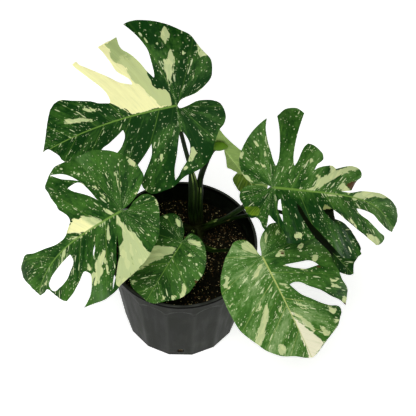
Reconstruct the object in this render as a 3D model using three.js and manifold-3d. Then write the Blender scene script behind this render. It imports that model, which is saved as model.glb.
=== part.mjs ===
// A cream-speckled monstera in a black plastic nursery pot, in millimetres, +Z up.
// The origin is the middle of the pot's underside, and the plant faces -Y.
// The pot holds potting mix, the crown stands in a hole in it, and seven leaf stalks
// grow from the crown, each with one blade.

import * as THREE from 'three';
import { mergeVertices } from 'three/addons/utils/BufferGeometryUtils.js';
import Module from 'manifold-3d';

const wasm = await Module();
wasm.setup();

// Driving dimensions of the pot, a ten inch grower's pot.
const potHeight = 215;
const rimRadius = 127;
const baseRadius = 107.4;
const wallThickness = 2.2;
const floorThickness = 3;
const rimProud = 3.2;
const rimHeight = 7;
const panelCount = 16;
const panelTurn = 0.033;
const archFoot = 165;
const archTop = 191;
const drainHole = { count: 4, radius: 6.5, height: 20 };

// Driving dimensions of the soil and the crown.
const soilLevel = 175;
const soilUneven = 1.5;
const crown = { x: 25, y: 46, radius: 15, top: 196, buried: 60 };
const gap = 0.4;

// Blades: their thickness, and how finely their curved faces are split.
const bladeThickness = 1.2;
const marginStep = 9;
const bladeStep = 17;
const creaseWidth = 14;
const midribStart = 5;

// Each blade is drawn flat, with u across it and v along its midrib from the stalk.
// The margin is a list of smooth runs from one corner to the next: the corners are the
// tips of the lobes and the ends of the splits. Each run starts where the last one ended.
// facing is the direction that the upper side looks in, and pointing is that of the midrib.
// bend is how far the midrib swings sideways by its tip, with how late it does so.
// A stalk has the route of its middle from the crown, its radius at the foot and above the
// sheath, how far up the sheath reaches, how far below the blade the stalk turns up to it,
// how much it swells there, and its seat on the blade. A knee of 0 is one that the route makes.
const leaves = [
  {
    name: 'leaf_back',
    junction: [-13.3, 96.5, 440],
    facing: [-0.06, -0.52, 0.85],
    pointing: [-0.97, -0.169, -0.172],
    length: 219, halfWidth: 96, droop: 30, arch: 7, crease: 3, wave: 3, waves: 2.2, phase: 0.4,
    bend: { across: -24, late: 2.5 },
    margin: [
      [[0, -1], [8, -9], [14, -35], [29, -57], [43, -63], [60, -64], [76, -55], [90, -48], [107, -40],
       [119, -26],
        [129, -12], [136, 3], [143, 23], [149, 41], [151, 54], [149, 60]],
      [[137, 51], [120, 40], [104, 32], [93, 28], [74, 26], [59, 25], [48, 26]],
      [[63, 36], [78, 44], [95, 56], [107, 68], [116, 72], [130, 74]],
      [[126, 85], [122, 96], [118, 105]],
      [[109, 99], [91, 90], [74, 83], [63, 72], [55, 64], [46, 61]],
      [[54, 80], [65, 94], [76, 109], [87, 124], [98, 139], [105, 143], [102, 151]],
      [[91, 143], [71, 126], [55, 112], [43, 104], [31, 100], [25, 100]],
      [[29, 117], [36, 132], [43, 156], [50, 180], [42, 195], [27, 203], [10, 209], [-5, 214],
       [-24, 222]],
      [[-21, 213], [-28, 204], [-36, 196], [-45, 191], [-55, 174], [-57, 153], [-51, 135], [-41, 125],
       [-34, 110],
        [-20, 88]],
      [[-31, 87], [-45, 95], [-56, 106], [-72, 106], [-83, 95], [-81, 82], [-72, 70], [-60, 58],
       [-50, 49]],
      [[-66, 52], [-83, 62], [-95, 70], [-106, 76], [-117, 72], [-124, 62], [-122, 43], [-119, 27],
       [-109, 9],
        [-102, -16], [-88, -36], [-70, -44], [-50, -56], [-42, -65], [-29, -70], [-11, -66],
         [-3, -55], [0, -44],
        [1, -31], [-3, -17], [-5, -4]],
    ],
    holes: [
      [[[-40, 3], [-52, 7], [-74, 14], [-95, 22], [-111, 24]],
        [[-105, 17], [-97, 11], [-90, 4], [-82, -3], [-71, -7], [-59, -8], [-43, -2]]],
    ],
    stalk: {
      route: [[20, 54, 187], [15.8, 56, 218], [15.5, 61, 251], [14.5, 67, 287], [8.5, 74, 324],
        [-1, 82, 364]],
      foot: 8.6, top: 3, sheath: 0.52, knee: 16, swelling: 1, seat: [0, 5],
    },
    color: 0x2f5a2a,
  },
  {
    name: 'leaf_left',
    junction: [-85.3, -66.1, 385],
    facing: [-0.22, -0.55, 0.8],
    pointing: [-0.834, -0.32, -0.449],
    length: 184, halfWidth: 78, droop: 25, arch: 8, crease: 3, wave: 4, waves: 2, phase: 2.1,
    bend: { across: -45, late: 4 },
    margin: [
      [[1, -2], [1, -9], [6, -26], [14, -40], [27, -54], [36, -55], [49, -53], [64, -46], [77, -36],
       [89, -24],
        [101, -3], [105, 13], [110, 30], [113, 49], [113, 63], [108, 72], [102, 79], [91, 91],
         [82, 90], [71, 89],
        [57, 86], [50, 86], [39, 79], [31, 76], [24, 78], [18, 85], [12, 92]],
      [[8, 100], [7, 117], [11, 137], [14, 156], [19, 170], [14, 180], [6, 189], [-10, 193], [-24, 188],
        [-34, 185], [-46, 180]],
      [[-46, 170], [-44, 162], [-57, 155], [-67, 150], [-73, 145], [-74, 141], [-68, 126], [-57, 107],
       [-53, 101],
        [-49, 94]],
      [[-58, 87], [-72, 95], [-84, 106], [-90, 116], [-95, 125]],
      [[-97, 108], [-100, 92], [-100, 78], [-98, 64], [-93, 51], [-88, 32], [-85, 18], [-78, -3],
       [-72, -14],
        [-66, -24], [-58, -34], [-42, -44], [-24, -53], [-12, -55], [-2, -51], [5, -41], [3, -24],
         [-3, -11]],
    ],
    holes: [
      [[[73, 39], [87, 49], [97, 60], [104, 76]], [[90, 63], [82, 51]]],
      [[[32, 24], [45, 34], [63, 53], [72, 59]], [[73, 46], [68, 37], [50, 29]]],
      [[[-17, 101], [-19, 110], [-23, 125], [-31, 146], [-40, 158]],
        [[-52, 154], [-52, 143], [-48, 128], [-40, 115], [-29, 102]]],
      [[[-24, 59], [-31, 62], [-38, 70]], [[-31, 66]]],
      [[[-26, 20], [-42, 27], [-57, 36], [-74, 49], [-94, 67]], [[-82, 59], [-65, 45], [-47, 34]]],
    ],
    stalk: {
      route: [[16, 44, 186], [-25, 38, 214], [-62, 8, 270], [-84, -30, 335]],
      foot: 6, top: 3.6, sheath: 0.35, knee: 16, swelling: 1, seat: [0, 5],
    },
    color: 0x335f2b,
  },
  {
    name: 'leaf_small',
    junction: [2.4, -44, 275],
    facing: [-0.18, -0.36, 0.915],
    pointing: [-0.503, -0.765, -0.402],
    length: 105, halfWidth: 60, droop: 10, arch: 6, crease: 2, wave: 2, waves: 1.5, phase: 0,
    bend: { across: 0, late: 2 },
    margin: [
      [[1, -3], [7, -17], [15, -25], [26, -33], [39, -33], [50, -26], [57, -17], [63, 2], [63, 31],
       [58, 61],
        [50, 82], [40, 95], [29, 102], [14, 104], [-1, 107]],
      [[-14, 103], [-26, 92], [-44, 76], [-52, 59], [-53, 44], [-55, 31], [-55, 20], [-49, 4],
       [-38, -11],
        [-28, -18], [-16, -22], [-4, -20], [0, -11]],
    ],
    holes: [],
    stalk: {
      route: [[21, 40, 186], [12, 6, 225]],
      foot: 4.5, top: 2.8, sheath: 0.3, knee: 16, swelling: 0.8, seat: [0, 5],
    },
    color: 0x3a6630,
  },
  {
    name: 'leaf_right',
    junction: [135.3, -21.6, 400],
    facing: [0.2, -0.501, 0.842],
    pointing: [0.98, 0.085, -0.182],
    length: 208, halfWidth: 88, droop: 35, arch: 8, crease: 3, wave: 4, waves: 2.4, phase: 1.2,
    bend: { across: 44, late: 7 },
    margin: [
      [[0, -3], [-2, -6], [-4, -17], [-3, -32], [-10, -43], [-21, -51], [-36, -54], [-51, -51],
       [-67, -44],
        [-82, -35], [-96, -23], [-103, -15]],
      [[-86, -16], [-67, -12], [-53, -7], [-41, -3], [-31, 2]],
      [[-45, 6], [-65, 7], [-88, 6], [-109, 2]],
      [[-122, 15], [-127, 26], [-128, 38], [-120, 47]],
      [[-105, 42], [-89, 37], [-68, 32], [-47, 29], [-35, 31]],
      [[-43, 36], [-53, 40], [-66, 46], [-72, 52]],
      [[-70, 61], [-65, 68], [-59, 75], [-50, 77]],
      [[-46, 73], [-41, 67], [-37, 65], [-31, 62]],
      [[-35, 67], [-38, 73], [-41, 83], [-42, 92], [-38, 99]],
      [[-40, 104], [-44, 116], [-46, 128], [-43, 139], [-38, 143], [-30, 143], [-23, 135], [-8, 127]],
      [[-5, 110]],
      [[-5, 127], [-9, 144], [-10, 163], [-9, 182], [-3, 199], [3, 207], [12, 214], [26, 215],
        [38, 211], [48, 206]],
      [[45, 196], [36, 182], [25, 169], [20, 153], [18, 137]],
      [[25, 142], [36, 162], [49, 179], [56, 190], [64, 189], [71, 179], [67, 170], [57, 154],
       [46, 135],
        [36, 118], [26, 101], [17, 83]],
      [[26, 80], [36, 91], [42, 100], [55, 122], [66, 138], [86, 153]],
      [[91, 148], [94, 136], [95, 125]],
      [[92, 118], [78, 99], [62, 80], [51, 67], [39, 55], [25, 44], [20, 37]],
      [[31, 41], [42, 49], [55, 59], [69, 71]],
      [[74, 57], [79, 41], [80, 27]],
      [[67, 22], [56, 13], [49, 4], [40, -5]],
      [[47, -5], [56, -6], [65, -7]],
      [[59, -13], [52, -16], [46, -23], [48, -31], [39, -39], [30, -44], [21, -50], [10, -49],
       [1, -40], [-1, -29],
        [-1, -16], [3, -7]],
    ],
    holes: [
      [[[16, 12], [18, 9], [30, 8], [40, 12], [50, 18]], [[36, 16]]],
    ],
    stalk: {
      route: [[30, 45, 188], [66, 22, 250], [103, -2, 330]],
      foot: 5.8, top: 4, sheath: 0.3, knee: 16, swelling: 1, seat: [0, 5],
    },
    color: 0x2d5728,
  },
  {
    name: 'leaf_front',
    junction: [128.6, -74.3, 292],
    facing: [0.12, -0.499, 0.858],
    pointing: [0.501, -0.716, -0.486],
    length: 176, halfWidth: 80, droop: 22, arch: 8, crease: 3, wave: 3, waves: 2, phase: 0.9,
    bend: { across: 0, late: 2 },
    margin: [
      [[1, -2], [3, -7], [4, -14], [7, -27], [13, -36], [22, -40], [31, -40], [42, -32], [53, -24],
       [65, -11],
        [75, 2], [82, 19], [84, 41], [84, 60], [83, 83], [76, 101], [67, 118], [61, 130], [50, 143],
         [40, 152],
        [23, 161], [10, 171], [-2, 177]],
      [[-11, 174], [-24, 167], [-42, 159], [-60, 151], [-68, 143], [-75, 136], [-77, 128], [-72, 122],
       [-63, 117],
        [-50, 105], [-38, 91], [-30, 82], [-24, 72], [-18, 57]],
      [[-25, 57], [-35, 62], [-44, 73], [-59, 88], [-70, 104], [-82, 118], [-87, 130]],
      [[-95, 120], [-101, 111], [-102, 103], [-99, 90], [-100, 74], [-99, 61], [-102, 45], [-95, 24],
       [-89, 12],
        [-83, -3], [-73, -17], [-59, -32], [-43, -38], [-33, -40], [-26, -37], [-16, -32], [-8, -24],
         [-4, -15],
        [-2, -8]],
    ],
    holes: [
      [[[-25, 26], [-34, 29], [-50, 34], [-60, 37], [-68, 42], [-75, 52]],
        [[-64, 50], [-54, 48], [-45, 43], [-32, 34]]],
    ],
    stalk: {
      route: [[27, 38, 187], [37, 9, 187], [51, -2, 193], [79, -20, 224], [105, -50, 264]],
      foot: 4.2, top: 2.8, sheath: 0.35, knee: 16, swelling: 0.8, seat: [0, 5],
    },
    color: 0x386a2f,
  },
  {
    name: 'leaf_shaded',
    junction: [175.3, 8.5, 300],
    facing: [0.1, -0.453, 0.886],
    pointing: [0.749, -0.551, -0.367],
    length: 140, halfWidth: 52, droop: 15, arch: 7, crease: 2, wave: 3, waves: 1.6, phase: 2.6,
    bend: { across: 0, late: 2 },
    margin: [
      [[-1, -3], [-6, -8], [-17, -9], [-30, -3], [-46, 10], [-57, 26], [-58, 38], [-48, 50], [-42, 58]],
      [[-48, 70], [-50, 87], [-47, 102], [-41, 120], [-35, 124], [-24, 128], [-13, 130], [-1, 141]],
      [[6, 137], [13, 125], [17, 113], [22, 96], [27, 78], [36, 59], [37, 40], [32, 22], [24, 7],
       [14, 0],
        [4, -2]],
    ],
    holes: [],
    stalk: {
      route: [[33, 48, 186], [54, 54, 194], [112, 39, 245], [150, 26, 277]],
      foot: 5, top: 3.2, sheath: 0.35, knee: 16, swelling: 0.8, seat: [0, 5],
    },
    color: 0x24481f,
  },
  {
    name: 'leaf_hanging',
    junction: [58.5, 78.3, 372],
    facing: [0.302, 0.946, 0.121],
    pointing: [0.54, -0.065, -0.839],
    length: 118, halfWidth: 52, droop: 10, arch: 7, crease: 2, wave: 4, waves: 1.8, phase: 1.7,
    bend: { across: 8, late: 2 },
    margin: [
      [[4, 4], [-14, 3], [-21, 0], [-17, -13], [-6, -28], [8, -37], [19, -38], [19, -26], [20, -12],
       [22, -1],
        [27, 12], [40, 19], [52, 34], [51, 56], [42, 86], [24, 112], [4, 130]],
      [[-9, 124], [-20, 118], [-28, 113], [-28, 96], [-26, 84], [-24, 77], [-9, 66]],
      [[-16, 59], [-22, 52], [-12, 32], [-3, 12]],
    ],
    holes: [],
    stalk: {
      route: [[28, 56, 187], [25.5, 63, 222], [25, 67, 262], [26.5, 69, 300], [33, 72, 332],
        [40, 74, 358], [48, 73, 376], [56, 70.5, 380]],
      foot: 7.2, top: 4.8, sheath: 0.5, knee: 0, swelling: 2.6, seat: [8, 0],
    },
    color: 0x7d9a5a,
  },
];

// Solids: a geometry becomes one closed mesh with shared corners, and back.

function closed(geometry) {
  geometry.deleteAttribute('normal');
  geometry.deleteAttribute('uv');
  return mergeVertices(geometry, 1e-4);
}

function toSolid(geometry) {
  const merged = closed(geometry);
  const vertProperties = new Float32Array(merged.attributes.position.array);
  const triVerts = new Uint32Array(merged.index.array);
  return new wasm.Manifold(new wasm.Mesh({ numProp: 3, vertProperties, triVerts }));
}

function toGeometry(solid) {
  const { vertProperties, triVerts } = solid.getMesh();
  const geometry = new THREE.BufferGeometry();
  geometry.setAttribute('position', new THREE.BufferAttribute(new Float32Array(vertProperties), 3));
  geometry.setIndex(new THREE.BufferAttribute(new Uint32Array(triVerts), 1));
  return geometry;
}

function mix(a, b, t) {
  return a + (b - a) * t;
}

// Pot: a cone whose side is pressed into flat panels that fade out in arches near the top.

function coneRadius(z) {
  return mix(baseRadius, rimRadius - rimProud, z / (potHeight - rimHeight));
}

function panelRadius(z, angle) {
  const panel = (2 * Math.PI) / panelCount;
  const turn = angle - panelTurn;
  const fromMiddle = turn - panel * Math.round(turn / panel);
  const flat = mix(Math.cos(panel / 2), 1, THREE.MathUtils.smoothstep(z, archFoot, archTop));
  return coneRadius(z) * Math.min(1, flat / Math.cos(fromMiddle));
}

// A profile turned about the upright axis, each row of it pushed in by the panels.
// A row is [height, inset from the panelled side] or { radius, z } for a round one.
function turned(rows, segments) {
  const profile = rows.map((row) => new THREE.Vector2(row.radius ?? 1, row.z ?? row[0]));
  const geometry = new THREE.LatheGeometry(profile, segments);
  geometry.rotateX(Math.PI / 2);
  geometry.rotateZ(panelTurn);
  const position = geometry.attributes.position;
  for (let i = 0; i < position.count; i++) {
    const row = rows[i % rows.length];
    if (row.radius !== undefined) continue;
    const angle = Math.atan2(position.getY(i), position.getX(i));
    const radius = panelRadius(row[0], angle) - row[1];
    position.setXY(i, radius * Math.cos(angle), radius * Math.sin(angle));
  }
  return geometry;
}

function makePot() {
  const rimFoot = potHeight - rimHeight;
  const outside = [2, 60, archFoot - 20, archFoot, 172, 179, 185, archTop, rimFoot].map((z) => [z, 0]);
  const inside = [rimFoot, archTop, 183, 174, archFoot, floorThickness].map((z) => [z, wallThickness]);
  const rows = [
    { radius: 0, z: 0 },
    [0, 3],
    ...outside,
    { radius: rimRadius, z: rimFoot + 1 },
    { radius: rimRadius, z: potHeight - 1.5 },
    { radius: rimRadius - 1.5, z: potHeight },
    { radius: rimRadius - rimProud - wallThickness + 0.6, z: potHeight },
    ...inside,
    { radius: 0, z: floorThickness },
  ];
  let pot = toSolid(turned(rows, panelCount * 4));
  for (let i = 0; i < drainHole.count; i++) {
    const hole = new THREE.CylinderGeometry(drainHole.radius, drainHole.radius, 30, 14);
    hole.translate(0, -baseRadius, 0);
    hole.translate(0, 0, drainHole.height);
    hole.rotateZ(panelTurn + (i * 2 * Math.PI) / drainHole.count);
    pot = pot.subtract(toSolid(hole));
  }
  return toGeometry(pot);
}

// Soil: it fills the pot, and has a plain hole for the crown.
function makeSoil() {
  const side = [floorThickness + gap, 60, archFoot, soilLevel].map((z) => [z, wallThickness + gap]);
  const edge = coneRadius(soilLevel) - 2 * wallThickness - gap;
  const rings = [0.92, 0.72, 0.5, 0.27].map((part) => ({ radius: edge * part, z: soilLevel }));
  const bottom = { radius: 0, z: floorThickness + gap };
  const geometry = turned([bottom, ...side, ...rings, { radius: 0, z: soilLevel }], panelCount * 2);
  const position = geometry.attributes.position;
  for (let i = 0; i < position.count; i++) {
    const [x, y, z] = [position.getX(i), position.getY(i), position.getZ(i)];
    const onTop = z === soilLevel && Math.hypot(x, y) < edge * 0.95;
    if (onTop) position.setZ(i, z + soilUneven * Math.sin(x / 17) * Math.cos(y / 21));
  }
  const well = crownStub(crown.radius + gap, crown.buried + gap);
  return toGeometry(toSolid(geometry).subtract(well));
}

// Stems: the crown and seven bent, tapering stalks, grown together.

function crownStub(radius, depth) {
  const foot = soilLevel - depth;
  const profile = [[0, foot], [radius - 4, foot], [radius, foot + 8], [radius, soilLevel + 8],
    [radius - 4, crown.top - 6], [0, crown.top]];
  const geometry = new THREE.LatheGeometry(profile.map(([r, z]) => new THREE.Vector2(r, z)), 20);
  geometry.rotateX(Math.PI / 2);
  geometry.translate(crown.x, crown.y, 0);
  return toSolid(geometry);
}

function bentRod(points, radiusAt, sides, steps) {
  const curve = new THREE.CatmullRomCurve3(points);
  const { normals, binormals } = curve.computeFrenetFrames(steps);
  const geometry = new THREE.CylinderGeometry(1, 1, 1, sides, steps);
  const position = geometry.attributes.position;
  for (let i = 0; i < position.count; i++) {
    const along = position.getY(i) + 0.5;
    const step = Math.round(along * steps);
    const radius = radiusAt(along);
    const place = curve.getPointAt(along)
      .addScaledVector(normals[step], position.getX(i) * radius)
      .addScaledVector(binormals[step], -position.getZ(i) * radius);
    position.setXYZ(i, place.x, place.y, place.z);
  }
  return toSolid(geometry);
}

// A blade's own axes: across, along the midrib, and out of the upper side.
function bladeAxes(leaf) {
  const out = new THREE.Vector3(...leaf.facing).normalize();
  const along = new THREE.Vector3(...leaf.pointing);
  along.addScaledVector(out, -along.dot(out)).normalize();
  return { across: new THREE.Vector3().crossVectors(along, out), along, out };
}

// Its sheath wraps the lower part of a stalk, which is thinner from there up.
function stalkRadius({ foot, top, sheath, swelling }, along) {
  const bare = THREE.MathUtils.smoothstep(along, sheath - 0.15, sheath);
  const swollen = swelling * Math.exp(-(((along - 0.93) / 0.05) ** 2));
  return mix(foot, top, 0.3 * along + 0.7 * bare) + swollen;
}

// A stalk runs up to its blade's middle, and is cut off flat just under the blade.
function makeStalk(leaf) {
  const { route, knee, seat } = leaf.stalk;
  const { across, along, out } = bladeAxes(leaf);
  const below = (depth) => new THREE.Vector3(...leaf.junction)
    .addScaledVector(across, seat[0])
    .addScaledVector(along, seat[1])
    .addScaledVector(out, -depth);
  const points = route.map((place) => new THREE.Vector3(...place));
  if (knee > 0) points.push(below(knee));
  points.push(below(0));
  const rod = bentRod(points, (part) => stalkRadius(leaf.stalk, part), 8, 16);
  const end = below(bladeThickness / 2 + gap).dot(out);
  return rod.trimByPlane(out.negate().toArray(), -end);
}

function makeStems() {
  const base = crownStub(crown.radius, crown.buried);
  return toGeometry(leaves.reduce((plant, leaf) => plant.add(makeStalk(leaf)), base));
}

// Blades: the flat outline is filled with triangles, then bent and given its thickness.

// A closed loop of smooth runs, sampled about every marginStep.
function sampled(runs) {
  const loop = [];
  runs.forEach((run, k) => {
    const last = k === runs.length - 1;
    const start = k === 0 ? [] : [runs[k - 1].at(-1)];
    const end = last ? [runs[0][0]] : [];
    const points = [...start, ...run, ...end].map(([u, v]) => new THREE.Vector2(u, v));
    const curve = new THREE.SplineCurve(points);
    const count = Math.max(1, Math.round(curve.getLength() / marginStep));
    loop.push(...curve.getSpacedPoints(count).slice(0, -1));
  });
  return loop;
}

function inside(point, loop) {
  let odd = false;
  loop.forEach((a, i) => {
    const b = loop[(i + 1) % loop.length];
    const crosses = a.y > point.y !== b.y > point.y;
    if (crosses && point.x < a.x + ((point.y - a.y) / (b.y - a.y)) * (b.x - a.x)) odd = !odd;
  });
  return odd;
}

function area(a, b, c) {
  return (b.x - a.x) * (c.y - a.y) - (b.y - a.y) * (c.x - a.x);
}

function angleAt(a, b, c) {
  return Math.abs(Math.atan2(area(a, b, c), (b.x - a.x) * (c.x - a.x) + (b.y - a.y) * (c.y - a.y)));
}

// Turns the shared edge of two triangles wherever that makes them less sharp.
function flipSharpPairs(points, triangles) {
  for (let turns = 1; turns > 0;) {
    turns = 0;
    const edges = new Map();
    triangles.forEach((triangle, t) => triangle.forEach((a, k) => {
      const [b, c] = [triangle[(k + 1) % 3], triangle[(k + 2) % 3]];
      const key = Math.min(a, b) * points.length + Math.max(a, b);
      edges.set(key, [...(edges.get(key) ?? []), { t, a, b, c }]);
    }));
    const changed = new Set();
    for (const [one, two] of edges.values()) {
      if (!two || changed.has(one.t) || changed.has(two.t)) continue;
      const [a, b, c, d] = [one.a, one.b, one.c, two.c].map((i) => points[i]);
      if (angleAt(c, a, b) + angleAt(d, a, b) < Math.PI + 1e-6) continue;
      triangles[one.t] = [one.a, two.c, one.c];
      triangles[two.t] = [two.c, one.b, one.c];
      changed.add(one.t).add(two.t);
      turns += 1;
    }
  }
}

// Triangles over the outline, with points along the midrib and on a lattice inside.
function fillOutline(leaf) {
  const margin = sampled(leaf.margin);
  const holes = leaf.holes.map(sampled);
  const points = [margin, ...holes].flat();
  const edge = [...points];
  const triangles = THREE.ShapeUtils.triangulateShape(margin, holes).map((triangle) => {
    const [a, b, c] = triangle;
    return area(points[a], points[b], points[c]) > 0 ? [a, b, c] : [a, c, b];
  });
  flipSharpPairs(points, triangles);
  const clearOf = (point, others, distance) => (
    others.every((other) => point.distanceTo(other) > distance));
  const addPoint = (point) => {
    const home = triangles.findIndex((corners) => corners.every((a, k) => (
      area(points[a], points[corners[(k + 1) % 3]], point) > 1e-3)));
    if (home < 0) return;
    const [a, b, c] = triangles[home];
    const added = points.push(point) - 1;
    triangles.splice(home, 1, [a, b, added], [b, c, added], [c, a, added]);
  };
  const spine = [];
  for (let v = midribStart; v < leaf.length - bladeStep / 2; v += bladeStep) {
    spine.push(new THREE.Vector2(midrib(leaf, v), v));
  }
  const rows = Math.ceil(400 / bladeStep);
  for (let i = -rows; i <= rows; i++) {
    for (let j = -rows; j <= rows; j++) {
      const place = new THREE.Vector2((i + j / 2) * bladeStep, j * bladeStep * 0.866);
      place.rotateAround(new THREE.Vector2(), 0.31);
      if (clearOf(place, spine, bladeStep * 0.6)) spine.push(place);
    }
  }
  const within = (point) => inside(point, margin) && !holes.some((hole) => inside(point, hole));
  spine.filter((point) => within(point) && clearOf(point, edge, bladeStep * 0.32)).forEach(addPoint);
  flipSharpPairs(points, triangles);
  return { points, triangles };
}

function midrib(leaf, v) {
  return leaf.bend.across * (Math.max(v, 0) / leaf.length) ** leaf.bend.late;
}

// Height of the blade above the plane at its junction: it droops towards the tip, arches
// down to both sides from a shallow crease at the midrib, and waves along the margin.
function bladeHeight(leaf, u, v) {
  const along = v / leaf.length;
  const across = u - midrib(leaf, v);
  const sideways = (across / leaf.halfWidth) ** 2;
  const side = across > 0 ? 0 : 1.3;
  const crease = leaf.crease * (1 - Math.exp(-((across / creaseWidth) ** 2)));
  const wave = leaf.wave * sideways * Math.sin(2 * Math.PI * leaf.waves * along + leaf.phase + side);
  return crease + wave - leaf.droop * Math.max(along, 0) ** 2 - leaf.arch * sideways;
}

function makeBlade(leaf) {
  const { points, triangles } = fillOutline(leaf);
  const positions = [];
  for (const half of [bladeThickness / 2, -bladeThickness / 2]) {
    for (const { x: u, y: v } of points) {
      const height = bladeHeight(leaf, u, v);
      const slopeU = bladeHeight(leaf, u + 1, v) - height;
      const slopeV = bladeHeight(leaf, u, v + 1) - height;
      const normal = new THREE.Vector3(-slopeU, -slopeV, 1).normalize().multiplyScalar(half);
      positions.push(u + normal.x, v + normal.y, height + normal.z);
    }
  }
  const under = points.length;
  const faces = [];
  const open = new Map();
  for (const [a, b, c] of triangles) {
    faces.push(a, b, c, under + a, under + c, under + b);
    for (const [from, to] of [[a, b], [b, c], [c, a]]) {
      if (!open.delete(`${to},${from}`)) open.set(`${from},${to}`, [from, to]);
    }
  }
  for (const [from, to] of open.values()) {
    faces.push(from, under + from, under + to, from, under + to, to);
  }
  const geometry = new THREE.BufferGeometry();
  geometry.setAttribute('position', new THREE.Float32BufferAttribute(positions, 3));
  geometry.setIndex(faces);
  return geometry;
}

// The plant and its pot

const object = new THREE.Group();

function addMesh(parent, name, geometry, color, roughness) {
  const material = new THREE.MeshStandardMaterial({ color, roughness, metalness: 0 });
  const mesh = new THREE.Mesh(geometry, material);
  mesh.name = name;
  parent.add(mesh);
}

addMesh(object, 'pot', makePot(), 0x1c1c1d, 0.5);
addMesh(object, 'soil', makeSoil(), 0x1f1611, 0.95);
addMesh(object, 'stems', makeStems(), 0x4d6b2c, 0.5);

for (const leaf of leaves) {
  const { across, along, out } = bladeAxes(leaf);
  const holder = new THREE.Group();
  holder.setRotationFromMatrix(new THREE.Matrix4().makeBasis(across, along, out));
  holder.position.set(...leaf.junction);
  addMesh(holder, leaf.name, makeBlade(leaf), leaf.color, 0.42);
  object.add(holder);
}

export default object;
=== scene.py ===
# %% [markdown]
# A cream-speckled monstera in a black nursery pot.
# The real object is a pot of potting mix with one short crown in it. Seven leaf stalks
# rise from the crown, and each ends in one broad, split blade that lies almost level.
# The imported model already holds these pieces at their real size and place. This script
# dresses them: it makes a finer mesh over each plain solid, and gives each surface its
# finish. The scene is in metres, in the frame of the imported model. Most sizes below are
# in millimetres, and MM turns them into metres.

import math
import random

import bmesh
import bpy
import numpy as np
from mathutils import Matrix, Vector, noise


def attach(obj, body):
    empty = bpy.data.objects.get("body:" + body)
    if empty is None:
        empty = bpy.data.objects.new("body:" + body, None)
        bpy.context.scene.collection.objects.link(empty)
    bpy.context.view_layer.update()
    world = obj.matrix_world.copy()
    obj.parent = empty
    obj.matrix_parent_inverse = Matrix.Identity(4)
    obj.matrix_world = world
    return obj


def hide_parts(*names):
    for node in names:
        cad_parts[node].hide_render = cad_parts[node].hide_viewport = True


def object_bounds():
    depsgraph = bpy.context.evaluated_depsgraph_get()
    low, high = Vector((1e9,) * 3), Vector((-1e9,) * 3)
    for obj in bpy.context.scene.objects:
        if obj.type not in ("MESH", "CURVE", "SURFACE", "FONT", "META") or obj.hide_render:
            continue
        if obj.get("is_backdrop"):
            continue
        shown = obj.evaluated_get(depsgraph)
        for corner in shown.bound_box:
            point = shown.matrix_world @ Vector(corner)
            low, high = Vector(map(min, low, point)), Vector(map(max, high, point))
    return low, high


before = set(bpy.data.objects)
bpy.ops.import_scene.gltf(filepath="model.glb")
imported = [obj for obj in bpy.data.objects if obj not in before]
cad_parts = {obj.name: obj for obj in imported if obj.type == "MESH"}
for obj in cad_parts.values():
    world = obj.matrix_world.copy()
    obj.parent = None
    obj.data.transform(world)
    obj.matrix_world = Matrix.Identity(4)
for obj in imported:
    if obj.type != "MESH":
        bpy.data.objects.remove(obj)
cad_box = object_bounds()
MM = 0.001
print("packed nodes:", sorted(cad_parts))

# %% [markdown]
# The photograph looks down on the plant from in front, with a slight roll. Its place was
# worked out from the pot's rim and foot, which are circles of a known size. The camera
# matrix has the picture's right, its up and the way back to the lens as its columns.

# %% Camera
CAMERA_PLACE = Vector((0.041, -0.741, 1.3251))
CAMERA_DIP = math.radians(53.82)
CAMERA_ROLL = math.radians(2.64)
FOCAL_PIXELS = 794.95
PICTURE_PIXELS = 416

back = Vector((0, -math.cos(CAMERA_DIP), math.sin(CAMERA_DIP)))
level_up = Vector((0, math.sin(CAMERA_DIP), math.cos(CAMERA_DIP)))
right = math.cos(CAMERA_ROLL) * Vector((1, 0, 0)) + math.sin(CAMERA_ROLL) * level_up
up = math.cos(CAMERA_ROLL) * level_up - math.sin(CAMERA_ROLL) * Vector((1, 0, 0))

lens = bpy.data.cameras.new("camera")
lens.sensor_width = 36
lens.lens = lens.sensor_width * FOCAL_PIXELS / PICTURE_PIXELS
camera = bpy.data.objects.new("camera", lens)
turn = Matrix((right, up, back)).transposed().to_4x4()
camera.matrix_world = Matrix.Translation(CAMERA_PLACE) @ turn
bpy.context.collection.objects.link(camera)
bpy.context.scene.camera = camera
print("lens", round(lens.lens, 2), "mm")

# %% [markdown]
# Each blade is drawn flat first, the way it would lie pressed in a book. Its u axis runs
# across and its v axis along the midrib, in millimetres from the stalk. The margin is a
# list of smooth runs between corners, and the corners are the tips of the lobes and the
# ends of the splits, which is how the splits stay crisp while the rest stays rounded.
# facing is where the upper side looks, and pointing is where the midrib goes. The lists
# named after a colour are the outlines of the patches that have it, and a deep one is painted
# shade: the skin is painted darker there, where the blade lies in shadow. route is what the
# stalk passes on its way, in the pot's own millimetres.

# %% A list for the seven leaves
LEAVES = []
USUAL_STALK = dict(knee=16, swelling=1, seat=(0, 5))


def draw(node, stalk, holes=(), **leaf):
    LEAVES.append(dict(node=node, stalk=USUAL_STALK | stalk, holes=holes, **leaf))
    print(node, "has", sum(len(run) for run in leaf["margin"]), "points on its margin")


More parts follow.
